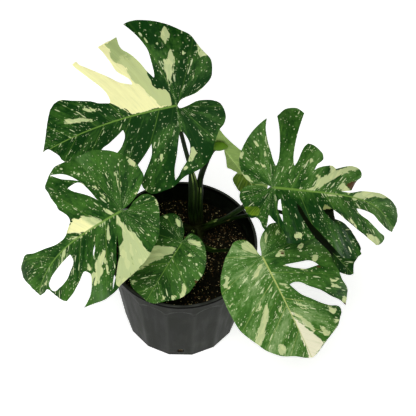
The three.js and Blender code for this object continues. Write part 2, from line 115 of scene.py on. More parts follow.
# %% The large blade at the back
draw(
    "leaf_back",
    junction=(-13.3, 96.5, 440),
    facing=(-0.06, -0.52, 0.85),
    pointing=(-0.97, -0.169, -0.172),
    length=219, half_width=96, droop=30, arch=7, crease=3,
    wave=3, waves=2.2, phase=0.4, bend=(-24, 2.5),
    margin=[
        [(0, -1), (8, -9), (14, -35), (29, -57), (43, -63), (60, -64), (76, -55), (90, -48),
         (107, -40), (119, -26), (129, -12), (136, 3), (143, 23), (149, 41), (151, 54), (149, 60)],
        [(137, 51), (120, 40), (104, 32), (93, 28), (74, 26), (59, 25), (48, 26)],
        [(63, 36), (78, 44), (95, 56), (107, 68), (116, 72), (130, 74)],
        [(126, 85), (122, 96), (118, 105)],
        [(109, 99), (91, 90), (74, 83), (63, 72), (55, 64), (46, 61)],
        [(54, 80), (65, 94), (76, 109), (87, 124), (98, 139), (105, 143), (102, 151)],
        [(91, 143), (71, 126), (55, 112), (43, 104), (31, 100), (25, 100)],
        [(29, 117), (36, 132), (43, 156), (50, 180), (42, 195), (27, 203), (10, 209), (-5, 214),
         (-24, 222)],
        [(-21, 213), (-28, 204), (-36, 196), (-45, 191), (-55, 174), (-57, 153), (-51, 135),
         (-41, 125), (-34, 110), (-20, 88)],
        [(-31, 87), (-45, 95), (-56, 106), (-72, 106), (-83, 95), (-81, 82), (-72, 70), (-60, 58),
         (-50, 49)],
        [(-66, 52), (-83, 62), (-95, 70), (-106, 76), (-117, 72), (-124, 62), (-122, 43),
         (-119, 27), (-109, 9), (-102, -16), (-88, -36), (-70, -44), (-50, -56), (-42, -65),
         (-29, -70), (-11, -66), (-3, -55), (0, -44), (1, -31), (-3, -17), (-5, -4)],
    ],
    holes=[
        [[(-40, 3), (-52, 7), (-74, 14), (-95, 22), (-111, 24)],
         [(-105, 17), (-97, 11), (-90, 4), (-82, -3), (-71, -7), (-59, -8), (-43, -2)]],
    ],
    yellow=[
        [(150, 114), (149, 66), (123, 60), (44, 31), (38, 30), (31, 24), (29, 18), (25, 11),
         (19, 9), (12, 7), (1, 8), (2, 19), (1, 48), (1, 70), (10, 78), (14, 87), (24, 101),
         (36, 113), (103, 167), (117, 170), (114, 132)],
    ],
    cream=[
        [(127, -3), (113, -9), (108, -6), (106, -3), (98, 0), (107, 2), (111, 4), (120, 1)],
        [(88, -7), (83, -3), (75, -1), (74, 7), (62, 8), (51, 7), (43, 7), (30, 5), (43, 0),
         (52, -4), (61, -5), (67, -10), (77, -12), (77, -8)],
        [(87, -48), (75, -54), (68, -61), (66, -49), (71, -47)],
        [(106, 11), (95, 9), (95, 11), (102, 14)],
        [(100, -26), (95, -29), (92, -26), (96, -24)],
        [(84, -23), (77, -26), (77, -23)],
        [(45, -37), (38, -34), (34, -30), (41, -33)],
        [(117, 31), (113, 28), (105, 25), (108, 29)],
        [(16, 180), (14, 154), (11, 143), (3, 128), (5, 144), (9, 157), (11, 177)],
        [(28, 141), (22, 124), (18, 119), (19, 130), (24, 145)],
        [(-30, 161), (-25, 148), (-27, 147), (-32, 158)],
        [(-68, -10), (-71, -16), (-77, -16), (-83, -11), (-90, -3), (-89, 2), (-83, -2), (-75, -7)],
        [(-99, 11), (-93, 4), (-97, 0), (-100, 7)],
        [(-53, 29), (-60, 29), (-68, 31), (-65, 32)],
        [(-66, 36), (-73, 36), (-80, 39), (-73, 39)],
    ],
    pale=[
        [(136, 76), (124, 86), (120, 94), (112, 88), (99, 87), (91, 83), (86, 79), (83, 73),
         (75, 67), (66, 65), (54, 60), (40, 50), (31, 43), (18, 34), (10, 28), (4, 24), (1, 7),
         (12, 7), (19, 9), (25, 11), (29, 18), (31, 24), (38, 30), (48, 32), (89, 47), (119, 66)],
    ],
    tone=0.14, rib=1.0,
    route=[(20, 54, 187), (15.8, 56, 218), (15.5, 61, 251), (14.5, 67, 287), (8.5, 74, 324),
           (-1, 82, 364)],
    stalk=dict(foot=8.6, top=3, sheath=0.52),
)

# %% The blade at the left
draw(
    "leaf_left",
    junction=(-85.3, -66.1, 385),
    facing=(-0.22, -0.55, 0.8),
    pointing=(-0.834, -0.32, -0.449),
    length=184, half_width=78, droop=25, arch=8, crease=3,
    wave=4, waves=2, phase=2.1, bend=(-45, 4),
    margin=[
        [(1, -2), (1, -9), (6, -26), (14, -40), (27, -54), (36, -55), (49, -53), (64, -46),
         (77, -36), (89, -24), (101, -3), (105, 13), (110, 30), (113, 49), (113, 63), (108, 72),
         (102, 79), (91, 91), (82, 90), (71, 89), (57, 86), (50, 86), (39, 79), (31, 76), (24, 78),
         (18, 85), (12, 92)],
        [(8, 100), (7, 117), (11, 137), (14, 156), (19, 170), (14, 180), (6, 189), (-10, 193),
         (-24, 188), (-34, 185), (-46, 180)],
        [(-46, 170), (-44, 162), (-57, 155), (-67, 150), (-73, 145), (-74, 141), (-68, 126),
         (-57, 107), (-53, 101), (-49, 94)],
        [(-58, 87), (-72, 95), (-84, 106), (-90, 116), (-95, 125)],
        [(-97, 108), (-100, 92), (-100, 78), (-98, 64), (-93, 51), (-88, 32), (-85, 18), (-78, -3),
         (-72, -14), (-66, -24), (-58, -34), (-42, -44), (-24, -53), (-12, -55), (-2, -51),
         (5, -41), (3, -24), (-3, -11)],
    ],
    holes=[
        [[(73, 39), (87, 49), (97, 60), (104, 76)],
         [(90, 63), (82, 51)]],
        [[(32, 24), (45, 34), (63, 53), (72, 59)],
         [(73, 46), (68, 37), (50, 29)]],
        [[(-17, 101), (-19, 110), (-23, 125), (-31, 146), (-40, 158)],
         [(-52, 154), (-52, 143), (-48, 128), (-40, 115), (-29, 102)]],
        [[(-24, 59), (-31, 62), (-38, 70)],
         [(-31, 66)]],
        [[(-26, 20), (-42, 27), (-57, 36), (-74, 49), (-94, 67)],
         [(-82, 59), (-65, 45), (-47, 34)]],
    ],
    yellow=[
        [(12, 87), (24, 74), (22, 62), (8, 54), (-2, 48), (-2, 62)],
    ],
    cream=[
        [(25, 74), (26, 70), (22, 63), (24, 61), (18, 49), (13, 41), (8, 38), (4, 34), (-1, 26),
         (-1, 33), (-1, 47), (-2, 57), (-3, 63), (0, 67), (7, 78), (14, 92), (18, 89), (21, 80)],
        [(7, 94), (1, 81), (-3, 68), (-5, 66), (-3, 76), (-1, 87), (4, 94)],
        [(-4, 100), (-9, 106), (-16, 114), (-16, 118), (-11, 116), (-7, 110)],
        [(-33, 155), (-36, 157), (-37, 169), (-36, 172), (-34, 166)],
        [(0, 171), (1, 163), (-2, 162), (-3, 170)],
        [(-2, 8), (-7, 7), (-23, 4), (-34, 0), (-46, -6), (-52, -7), (-60, -6), (-70, -8),
         (-76, -13), (-81, -1), (-84, 13), (-88, 26), (-91, 37), (-96, 46), (-97, 55), (-90, 58),
         (-75, 52), (-65, 42), (-56, 31), (-45, 26), (-41, 16), (-28, 11), (-21, 11), (-14, 14)],
        [(-34, 45), (-38, 55), (-44, 64), (-46, 71), (-53, 77), (-59, 76), (-68, 85), (-75, 90),
         (-75, 82), (-67, 74), (-65, 68), (-53, 60), (-47, 53), (-39, 46)],
        [(-50, 52), (-65, 57), (-71, 58), (-71, 62), (-65, 60), (-54, 56)],
        [(-58, 80), (-61, 87), (-69, 95), (-71, 90), (-64, 83)],
        [(-9, 50), (-12, 49), (-21, 55), (-20, 58)],
        [(-7, 27), (-17, 29), (-27, 33), (-30, 38), (-22, 36)],
        [(-41, 85), (-43, 82), (-52, 83), (-51, 87)],
        [(66, -45), (58, -52), (51, -53), (47, -48), (53, -45), (59, -43)],
        [(43, -16), (37, -19), (29, -17), (23, -14), (31, -14), (40, -14)],
        [(55, -18), (51, -20), (45, -18), (50, -16)],
        [(58, 23), (53, 17), (44, 13), (42, 15), (48, 20), (54, 24)],
        [(43, 17), (37, 12), (29, 9), (20, 8), (21, 10), (28, 13), (38, 17)],
        [(17, -43), (15, -42), (10, -32), (10, -29), (13, -36)],
        [(17, 21), (10, 15), (2, 11), (2, 14), (9, 20), (15, 22)],
        [(-3, -52), (-10, -56), (-19, -57), (-25, -54), (-15, -53), (-6, -51)],
        [(-2, -41), (-5, -46), (-7, -45), (-4, -39)],
        [(-48, -19), (-51, -21), (-57, -20), (-55, -18)],
    ],
    tone=0.38, rib=1.0,
    route=[(16, 44, 186), (-25, 38, 214), (-62, 8, 270), (-84, -30, 335)],
    stalk=dict(foot=6, top=3.6, sheath=0.35),
)

# %% The small blade
draw(
    "leaf_small",
    junction=(2.4, -44, 275),
    facing=(-0.18, -0.36, 0.915),
    pointing=(-0.503, -0.765, -0.402),
    length=105, half_width=60, droop=10, arch=6, crease=2,
    wave=2, waves=1.5, phase=0, bend=(0, 2),
    margin=[
        [(1, -3), (7, -17), (15, -25), (26, -33), (39, -33), (50, -26), (57, -17), (63, 2),
         (63, 31), (58, 61), (50, 82), (40, 95), (29, 102), (14, 104), (-1, 107)],
        [(-14, 103), (-26, 92), (-44, 76), (-52, 59), (-53, 44), (-55, 31), (-55, 20), (-49, 4),
         (-38, -11), (-28, -18), (-16, -22), (-4, -20), (0, -11)],
    ],
    cream=[
        [(3, 11), (3, 16), (4, 21), (7, 25), (13, 30), (19, 38), (13, 36), (16, 40), (21, 47),
         (28, 58), (34, 68), (39, 76), (43, 87), (48, 94), (56, 87), (52, 67), (42, 43), (35, 28),
         (30, 24), (14, 16)],
        [(-5, -9), (-10, -13), (-16, -15), (-24, -16), (-29, -14), (-30, -10), (-27, -8),
         (-21, -8), (-14, -6), (-8, -7)],
        [(31, -26), (28, -28), (22, -27), (17, -22), (19, -20), (25, -23)],
        [(51, -22), (46, -25), (43, -23), (46, -21)],
        [(-17, 11), (-26, 6), (-29, 7), (-26, 11), (-21, 12)],
        [(-36, 55), (-38, 51), (-45, 55), (-48, 59), (-49, 64), (-50, 71), (-45, 73), (-42, 70),
         (-42, 64), (-37, 59)],
        [(-32, 77), (-36, 76), (-39, 76), (-40, 80), (-35, 83)],
        [(-21, 85), (-24, 86), (-23, 90), (-20, 93), (-22, 88)],
        [(40, 95), (34, 90), (32, 92), (27, 100), (33, 99)],
        [(-22, 42), (-24, 39), (-27, 43), (-26, 45)],
    ],
    brown=[
        [(-50, 40), (-57, 36), (-58, 42), (-55, 45)],
    ],
    # deep: painted shade on the upper lobe, which lies in the left blade's shadow.
    deep=[
        [(8, -6), (20, -60), (90, -40), (60, 20), (30, 14)],
    ],
    tone=0.42, rib=0.6,
    route=[(21, 40, 186), (12, 6, 225)],
    stalk=dict(foot=4.5, top=2.8, sheath=0.3, swelling=0.8),
)

# %% The split blade at the right
draw(
    "leaf_right",
    junction=(135.3, -21.6, 400),
    facing=(0.2, -0.501, 0.842),
    pointing=(0.98, 0.085, -0.182),
    length=208, half_width=88, droop=35, arch=8, crease=3,
    wave=4, waves=2.4, phase=1.2, bend=(44, 7),
    margin=[
        [(0, -3), (-2, -6), (-4, -17), (-3, -32), (-10, -43), (-21, -51), (-36, -54), (-51, -51),
         (-67, -44), (-82, -35), (-96, -23), (-103, -15)],
        [(-86, -16), (-67, -12), (-53, -7), (-41, -3), (-31, 2)],
        [(-45, 6), (-65, 7), (-88, 6), (-109, 2)],
        [(-122, 15), (-127, 26), (-128, 38), (-120, 47)],
        [(-105, 42), (-89, 37), (-68, 32), (-47, 29), (-35, 31)],
        [(-43, 36), (-53, 40), (-66, 46), (-72, 52)],
        [(-70, 61), (-65, 68), (-59, 75), (-50, 77)],
        [(-46, 73), (-41, 67), (-37, 65), (-31, 62)],
        [(-35, 67), (-38, 73), (-41, 83), (-42, 92), (-38, 99)],
        [(-40, 104), (-44, 116), (-46, 128), (-43, 139), (-38, 143), (-30, 143), (-23, 135),
         (-8, 127)],
        [(-5, 110)],
        [(-5, 127), (-9, 144), (-10, 163), (-9, 182), (-3, 199), (3, 207), (12, 214), (26, 215),
         (38, 211), (48, 206)],
        [(45, 196), (36, 182), (25, 169), (20, 153), (18, 137)],
        [(25, 142), (36, 162), (49, 179), (56, 190), (64, 189), (71, 179), (67, 170), (57, 154),
         (46, 135), (36, 118), (26, 101), (17, 83)],
        [(26, 80), (36, 91), (42, 100), (55, 122), (66, 138), (86, 153)],
        [(91, 148), (94, 136), (95, 125)],
        [(92, 118), (78, 99), (62, 80), (51, 67), (39, 55), (25, 44), (20, 37)],
        [(31, 41), (42, 49), (55, 59), (69, 71)],
        [(74, 57), (79, 41), (80, 27)],
        [(67, 22), (56, 13), (49, 4), (40, -5)],
        [(47, -5), (56, -6), (65, -7)],
        [(59, -13), (52, -16), (46, -23), (48, -31), (39, -39), (30, -44), (21, -50), (10, -49),
         (1, -40), (-1, -29), (-1, -16), (3, -7)],
    ],
    holes=[
        [[(16, 12), (18, 9), (30, 8), (40, 12), (50, 18)],
         [(36, 16)]],
    ],
    cream=[
        [(-2, 53), (-7, 64), (-12, 68), (-18, 69), (-23, 74), (-26, 83), (-29, 88), (-40, 88),
         (-45, 90), (-46, 100), (-37, 99), (-40, 108), (-44, 119), (-49, 130), (-46, 143),
         (-42, 141), (-39, 130), (-37, 122), (-32, 111), (-27, 103), (-21, 94), (-15, 84),
         (-7, 74), (-3, 66), (0, 58)],
        [(-10, 103), (-16, 108), (-18, 116), (-13, 120), (-9, 127), (-3, 123), (-6, 110)],
        [(1, 83), (0, 99), (0, 111), (3, 111), (3, 100), (4, 85)],
        [(2, 130), (-3, 134), (-10, 146), (-13, 157), (-12, 173), (-9, 187), (-5, 198), (-3, 187),
         (-3, 172), (1, 159), (2, 147), (6, 132)],
        [(55, 159), (55, 169), (59, 177), (65, 184), (72, 180), (69, 171), (62, 162)],
        [(32, 122), (35, 130), (42, 137), (50, 142), (46, 134), (40, 127)],
        [(-21, -52), (-15, -46), (-13, -40), (-5, -32), (0, -32), (-6, -39), (-12, -48)],
        [(-47, -54), (-50, -48), (-45, -47), (-35, -51), (-35, -54)],
        [(-69, -35), (-68, -31), (-60, -25), (-57, -26), (-60, -31)],
        [(-36, -29), (-33, -22), (-30, -15), (-28, -16), (-30, -24)],
        [(-52, -15), (-51, -12), (-46, -13), (-47, -16)],
        [(-45, 53), (-49, 58), (-46, 59), (-42, 54), (-42, 51)],
        [(68, 37), (63, 40), (63, 47), (65, 53), (67, 50), (72, 49), (73, 42), (71, 38)],
    ],
    pale=[
        [(-24, 64), (-29, 72), (-23, 73), (-21, 66)],
    ],
    brown=[
        [(-17, 115), (-20, 119), (-23, 135), (-14, 134), (-8, 129), (-11, 121)],
    ],
    olive=[
        [(32, -42), (30, -22), (35, -18), (43, -18), (44, -30), (40, -40)],
    ],
    # deep: painted shade on the lower lobes, which face away from the light.
    deep=[
        [(10, -60), (10, 60), (30, 110), (70, 190), (140, 140), (130, -60)],
    ],
    tone=0.52, rib=1.1,
    route=[(30, 45, 188), (66, 22, 250), (103, -2, 330)],
    stalk=dict(foot=5.8, top=4, sheath=0.3),
)

# %% The broad blade in front
draw(
    "leaf_front",
    junction=(128.6, -74.3, 292),
    facing=(0.12, -0.499, 0.858),
    pointing=(0.501, -0.716, -0.486),
    length=176, half_width=80, droop=22, arch=8, crease=3,
    wave=3, waves=2, phase=0.9, bend=(0, 2),
    margin=[
        [(1, -2), (3, -7), (4, -14), (7, -27), (13, -36), (22, -40), (31, -40), (42, -32),
         (53, -24), (65, -11), (75, 2), (82, 19), (84, 41), (84, 60), (83, 83), (76, 101),
         (67, 118), (61, 130), (50, 143), (40, 152), (23, 161), (10, 171), (-2, 177)],
        [(-11, 174), (-24, 167), (-42, 159), (-60, 151), (-68, 143), (-75, 136), (-77, 128),
         (-72, 122), (-63, 117), (-50, 105), (-38, 91), (-30, 82), (-24, 72), (-18, 57)],
        [(-25, 57), (-35, 62), (-44, 73), (-59, 88), (-70, 104), (-82, 118), (-87, 130)],
        [(-95, 120), (-101, 111), (-102, 103), (-99, 90), (-100, 74), (-99, 61), (-102, 45),
         (-95, 24), (-89, 12), (-83, -3), (-73, -17), (-59, -32), (-43, -38), (-33, -40),
         (-26, -37), (-16, -32), (-8, -24), (-4, -15), (-2, -8)],
    ],
    holes=[
        [[(-25, 26), (-34, 29), (-50, 34), (-60, 37), (-68, 42), (-75, 52)],
         [(-64, 50), (-54, 48), (-45, 43), (-32, 34)]],
    ],
    yellow=[
        [(-2, 86), (-2, 106), (-6, 115), (-12, 130), (-18, 144), (-26, 164), (-21, 169), (-8, 173),
         (-3, 181), (5, 176), (2, 161), (2, 146), (1, 129), (0, 114), (1, 100)],
    ],
    cream=[
        [(21, -36), (14, -34), (9, -32), (4, -24), (3, -15), (1, -6), (7, -8), (11, -11),
         (15, -17), (20, -19), (25, -26), (21, -29)],
        [(9, 9), (5, 11), (8, 15), (16, 19), (24, 23), (30, 24), (28, 20), (22, 15), (15, 11)],
        [(65, -2), (61, -1), (60, 8), (65, 8), (69, 14), (66, 17), (68, 19), (75, 15), (75, 10),
         (69, 7)],
        [(73, 39), (72, 42), (76, 45), (80, 45), (77, 41)],
        [(25, 63), (28, 71), (33, 83), (38, 91), (44, 98), (50, 105), (56, 111), (64, 119),
         (70, 117), (71, 109), (64, 103), (54, 93), (45, 81), (36, 73), (29, 66)],
        [(32, 56), (38, 66), (47, 71), (48, 69), (41, 63)],
        [(8, 75), (8, 79), (14, 87), (17, 87), (13, 79)],
        [(-3, 87), (-7, 97), (-13, 111), (-19, 122), (-21, 131), (-23, 140), (-19, 139),
         (-14, 128), (-11, 117), (-6, 104)],
        [(-12, 78), (-18, 89), (-24, 99), (-27, 107), (-25, 106), (-20, 99), (-14, 87)],
        [(-32, 135), (-37, 140), (-40, 148), (-46, 153), (-38, 157), (-33, 155), (-32, 146)],
        [(38, 133), (31, 135), (30, 141), (35, 151), (43, 147), (42, 138)],
        [(-59, 116), (-68, 125), (-68, 130), (-60, 131), (-57, 123)],
        [(-57, 139), (-65, 144), (-61, 148), (-55, 143)],
        [(-64, 7), (-69, 14), (-63, 16), (-59, 17), (-56, 14), (-61, 10)],
        [(-67, 37), (-75, 36), (-82, 39), (-78, 43), (-72, 45), (-67, 39)],
        [(-19, 8), (-24, 4), (-30, 3), (-35, 1), (-33, 6), (-35, 10), (-32, 14), (-26, 12)],
        [(-2, 45), (-7, 48), (-14, 53), (-17, 60), (-13, 61), (-9, 55), (-5, 52)],
        [(-81, 80), (-94, 86), (-88, 89), (-80, 85)],
        [(-77, 89), (-85, 92), (-90, 102), (-84, 97), (-77, 92)],
        [(-20, -32), (-24, -28), (-19, -21), (-14, -17), (-15, -23)],
        [(-36, -27), (-41, -26), (-41, -21), (-35, -20)],
        [(-46, 43), (-56, 51), (-67, 59), (-64, 61), (-55, 53), (-45, 45)],
        [(-88, 114), (-94, 120), (-87, 133), (-84, 126)],
    ],
    brown=[
        [(-27, 5), (-34, 8), (-33, 13), (-27, 10)],
        [(-73, 50), (-76, 53), (-75, 56), (-71, 54)],
        [(-85, 125), (-89, 129), (-86, 133), (-83, 129)],
    ],
    # deep: painted shade over the half nearest the right blade, which shades it.
    deep=[
        [(-14, -60), (-120, -60), (-120, 140), (-60, 150), (-40, 110), (-14, 60), (-8, 20)],
    ],
    tone=0.88, rib=0.8,
    route=[(27, 38, 187), (37, 9, 187), (51, -2, 193), (79, -20, 224), (105, -50, 264)],
    stalk=dict(foot=4.2, top=2.8, sheath=0.35, swelling=0.8),
)

# %% The shaded blade under the right one
draw(
    "leaf_shaded",
    junction=(175.3, 8.5, 300),
    facing=(0.1, -0.453, 0.886),
    pointing=(0.749, -0.551, -0.367),
    length=140, half_width=52, droop=15, arch=7, crease=2,
    wave=3, waves=1.6, phase=2.6, bend=(0, 2),
    margin=[
        [(-1, -3), (-6, -8), (-17, -9), (-30, -3), (-46, 10), (-57, 26), (-58, 38), (-48, 50),
         (-42, 58)],
        [(-48, 70), (-50, 87), (-47, 102), (-41, 120), (-35, 124), (-24, 128), (-13, 130),
         (-1, 141)],
        [(6, 137), (13, 125), (17, 113), (22, 96), (27, 78), (36, 59), (37, 40), (32, 22), (24, 7),
         (14, 0), (4, -2)],
    ],
    yellow=[
        [(-45, 19), (-55, 26), (-56, 42), (-48, 44), (-38, 31)],
    ],
    cream=[
        [(-39, 25), (-46, 22), (-53, 28), (-52, 37), (-44, 35), (-38, 32)],
        [(-37, 60), (-38, 74), (-38, 79), (-36, 78), (-35, 65)],
    ],
    # deep: painted shadow along the dark slit under the right blade's lobes and beside it.
    deep=[
        [(-24, -12), (-18, 30), (-10, 72), (-12, 96), (10, 96), (20, 70), (12, 30), (0, -12)],
        [(-60, 30), (-58, 62), (-24, 62), (-24, 34)],
    ],
    # The low tone is painted shade, for this blade lies in the right blade's shadow.
    tone=0.1, rib=0.4,
    route=[(33, 48, 186), (54, 54, 194), (112, 39, 245), (150, 26, 277)],
    stalk=dict(foot=5, top=3.2, sheath=0.35, swelling=0.8),
)

# %% The blade that hangs behind
draw(
    "leaf_hanging",
    junction=(58.5, 78.3, 372),
    facing=(0.302, 0.946, 0.121),
    pointing=(0.54, -0.065, -0.839),
    length=118, half_width=52, droop=10, arch=7, crease=2,
    wave=4, waves=1.8, phase=1.7, bend=(8, 2),
    margin=[
        [(4, 4), (-14, 3), (-21, 0), (-17, -13), (-6, -28), (8, -37), (19, -38), (19, -26),
         (20, -12), (22, -1), (27, 12), (40, 19), (52, 34), (51, 56), (42, 86), (24, 112), (4, 130)],
        [(-9, 124), (-20, 118), (-28, 113), (-28, 96), (-26, 84), (-24, 77), (-9, 66)],
        [(-16, 59), (-22, 52), (-12, 32), (-3, 12)],
    ],
    olive=[
        [(-36, 84), (-24, 68), (2, 70), (14, 92), (-10, 118), (-36, 112)],
    ],
    tone=0.6, rib=0.8,
    route=[(28, 56, 187), (25.5, 63, 222), (25, 67, 262), (26.5, 69, 300), (33, 72, 332),
           (40, 74, 358), (48, 73, 376), (56, 70.5, 380)],
    stalk=dict(foot=7.2, top=4.8, sheath=0.5, knee=0, swelling=2.6, seat=(8, 0)),
)
print(len(LEAVES), "blades drawn")

# %% [markdown]
# A run is a curve through its few points, and it is then walked in even steps. Each run
# starts where the last one ended, and the last one closes the loop.

# %% Smooth margins
MARGIN_STEP = 2.5
CURVE_PARTS = 16


def cubic(b, c, start, end):
    """A stretch of curve from b to c that leaves and arrives with the given slopes."""
    t = np.arange(CURVE_PARTS)[:, None] / CURVE_PARTS
    bow = 3 * (c - b) - 2 * start - end
    twist = 2 * (b - c) + start + end
    return b + start * t + bow * t**2 + twist * t**3


def curve_through(points):
    """A finely divided Catmull-Rom curve through the points."""
    corners = np.array([points[0], *points, points[-1]], float)
    spans = [cubic(b, c, (c - a) / 2, (d - b) / 2)
             for a, b, c, d in zip(corners, corners[1:], corners[2:], corners[3:])]
    return np.vstack([*spans, corners[-1]])


def even_steps(points, step):
    """The same curve with its points the same distance apart."""
    reach = np.r_[0, np.cumsum(np.linalg.norm(np.diff(points, axis=0), axis=1))]
    places = np.linspace(0, reach[-1], max(1, round(reach[-1] / step)) + 1)
    return np.column_stack([np.interp(places, reach, axis) for axis in points.T])


def closed_loop(runs):
    loop = []
    for k, run in enumerate(runs):
        before = [runs[k - 1][-1]] if k else []
        after = [runs[0][0]] if k == len(runs) - 1 else []
        loop.append(even_steps(curve_through([*before, *run, *after]), MARGIN_STEP)[:-1])
    return np.vstack(loop)


print("steps round each blade:", [len(closed_loop(leaf["margin"])) for leaf in LEAVES])


# %% [markdown]
# The flat blade becomes a real one by a formula: it droops towards the tip, arches down
# to both sides from a shallow crease at the midrib, and waves along its margin. The
# plain solid follows the same formula, so the fine blade lies along it.

# %% The shape of a blade
CREASE_WIDTH = 14
WAVE_TURN = 1.3


def axes(leaf):
    out = Vector(leaf["facing"]).normalized()
    along = Vector(leaf["pointing"])
    along = (along - along.dot(out) * out).normalized()
    return np.array([along.cross(out), along, out])


def midrib(leaf, v):
    swing, lateness = leaf["bend"]
    return swing * (np.maximum(v, 0) / leaf["length"]) ** lateness


def blade_height(leaf, s, v):
    """Height over the plane at the stalk, at s across from the midrib and v along it."""
    along = v / leaf["length"]
    sideways = (s / leaf["half_width"]) ** 2
    turn = leaf["phase"] + np.where(s > 0, 0, WAVE_TURN)
    crease = leaf["crease"] * (1 - np.exp(-((s / CREASE_WIDTH) ** 2)))
    wave = leaf["wave"] * sideways * np.sin(2 * np.pi * leaf["waves"] * along + turn)
    return crease + wave - leaf["droop"] * np.maximum(along, 0) ** 2 - leaf["arch"] * sideways


for leaf in LEAVES:
    print(leaf["node"], "droops", round(-float(blade_height(leaf, 0, leaf["length"]))), "mm")


# %% [markdown]
# The side veins fan out behind the stalk, then leave the midrib at a growing slant and
# curve towards the tip. The speckles, the cream sectors and the relief all follow them.
# For each point of the blade this finds the vein that passes through it: root says where
# that vein leaves the midrib, and reach says how far along the vein the point is. Veins
# are numbered from -1 at the back of the fan to 1 at the tip, and halving finds the one.

# %% The run of the side veins
FAN_WIDTH = 115
SLANT_AT_BACK = math.radians(-86)
SLANT_AT_BASE = math.radians(14)
SLANT_AT_TIP = math.radians(52)
SLANT_GROWTH = 0.7
VEIN_CURL = 0.0012
VEINS_SEARCHED = (-1.0, 1.6)
HALVINGS = 28


def vein_flow(leaf, s, v):
    low, high = (np.full(len(s), end) for end in VEINS_SEARCHED)
    for _ in range(HALVINGS):
        middle = (low + high) / 2
        front = np.maximum(middle, 0)
        slant = np.where(
            middle < 0,
            SLANT_AT_BASE + (SLANT_AT_BASE - SLANT_AT_BACK) * middle,
            SLANT_AT_BASE + (SLANT_AT_TIP - SLANT_AT_BASE) * np.minimum(front, 1) ** SLANT_GROWTH,
        )
        vein = front * leaf["length"] + np.abs(s) * np.tan(slant) + VEIN_CURL * s**2
        below = vein < v
        low = np.where(below, middle, low)
        high = np.where(below, high, middle)
    start = np.maximum(low, 0) * leaf["length"]
    reach = np.hypot(s, v - start)
    root = np.where(low < 0, low * FAN_WIDTH, start)
    return reach, root


# %% [markdown]
# The mesh of a blade starts as its margin, filled flat. Straight cuts along and across
# the midrib then turn it into an even net, with a few closer cuts beside the midrib for
# the rib on the underside. Solidify gives it two sides while it is still flat, so each
# corner's own x, y and z say where it belongs when the blade is bent.

# %% Flat blades with two sides
NET_STEP = 3.0
RIB_CUTS = (0, 0.8, 1.6, 2.4, 3.4)
BLADE_THICKNESS = 0.8
CUT_MERGE = 1e-4
SLANTED = 1e-3


def cut(bm, places, axis):
    for place in places:
        parts = [*bm.verts, *bm.edges, *bm.faces]
        plane = dict(plane_co=axis * place, plane_no=axis)
        bmesh.ops.bisect_plane(bm, geom=parts, dist=CUT_MERGE, **plane)


def net_places(values):
    return np.arange(math.ceil(min(values) / NET_STEP), max(values) / NET_STEP) * NET_STEP


def is_slanted(edge):
    span = edge.verts[0].co - edge.verts[1].co
    return not edge.is_boundary and min(abs(span.x), abs(span.y)) > SLANTED


def flat_blade(leaf):
    bm = bmesh.new()
    for runs in [leaf["margin"], *leaf["holes"]]:
        corners = [bm.verts.new((u - midrib(leaf, v), v, 0)) for u, v in closed_loop(runs)]
        for a, b in zip(corners, corners[1:] + corners[:1]):
            bm.edges.new((a, b))
    bmesh.ops.triangle_fill(bm, use_beauty=True, edges=bm.edges[:], normal=(0, 0, 1))
    across = net_places([corner.co.x for corner in bm.verts])
    along = net_places([corner.co.y for corner in bm.verts])
    across = [place for place in across if abs(place) > RIB_CUTS[-1] + 1]
    across += [side * place for place in RIB_CUTS for side in (-1, 1) if side > 0 or place > 0]
    cut(bm, along, Vector((0, 1, 0)))
    cut(bm, across, Vector((1, 0, 0)))
    slanted = [edge for edge in bm.edges if is_slanted(edge)]
    bmesh.ops.dissolve_edges(bm, edges=slanted, use_verts=True)
    for face in bm.faces:
        if face.normal.z < 0:
            face.normal_flip()
    bmesh.ops.solidify(bm, geom=bm.faces[:], thickness=BLADE_THICKNESS)
    bmesh.ops.recalc_face_normals(bm, faces=bm.faces[:])
    lowest = min(corner.co.z for corner in bm.verts)
    bmesh.ops.translate(bm, verts=bm.verts[:], vec=(0, 0, -lowest - BLADE_THICKNESS / 2))
    return bm

# %% [markdown]
# How near a corner is to the margin says how thin the blade is there, and how deep it
# lies in a patch of another colour says where that patch fades. The patches are outlines
# too, drawn in the same flat millimetres.

# %% Distances to outlines
FAR_OUTSIDE = 50.0


def distance_to(loop, places):
    best = np.full(len(places), np.inf)
    for a, b in zip(loop, np.roll(loop, -1, axis=0)):
        span = b - a
        t = np.clip((places - a) @ span / (span @ span), 0, 1)
        best = np.minimum(best, np.linalg.norm(places - a - t[:, None] * span, axis=1))
    return best


def is_inside(loop, places):
    odd = np.zeros(len(places), bool)
    for a, b in zip(loop, np.roll(loop, -1, axis=0)):
        if a[1] == b[1]:
            continue
        level = (a[1] > places[:, 1]) != (b[1] > places[:, 1])
        crossing = a[0] + (places[:, 1] - a[1]) / (b[1] - a[1]) * (b[0] - a[0])
        odd ^= level & (places[:, 0] < crossing)
    return odd


def depth_in(loops, places):
    """How deep each place lies inside the outlines, in millimetres, less than 0 outside."""
    depth = np.full(len(places), -FAR_OUTSIDE)
    for loop in loops:
        loop = np.array(loop, float)
        distance = distance_to(loop, places)
        depth = np.maximum(depth, np.where(is_inside(loop, places), distance, -distance))
    return depth


# %% [markdown]
# Bending is arithmetic on all corners at once. The two sides are set apart along the
# blade's own normal, thinner at the margin. The underside gets the midrib's rib, and
# the side veins pull the blade down a little between its puffed-up fields, which is what
# catches the light on a healthy leaf.

# %% Bend a flat blade into place
VEIN_SPACING = 22
VEIN_RELIEF = 1.1
RELIEF_START, RELIEF_FADE = 4, 20
FAN_RELIEF_START, FAN_RELIEF_FADE = -30, 40
RIB_HEIGHT = 2.6
RIB_START = 6
RIB_TAPER = 0.8
MARGIN_TAPER = 5
THIN_MARGIN = 0.45


def unit(vectors):
    return vectors / np.linalg.norm(vectors, axis=-1, keepdims=True)


def vein_count(root, side):
    """A whole number on each side vein, and the share of the way to the next between them."""
    return root / VEIN_SPACING + np.where(side > 0, 0.25, 0.75)


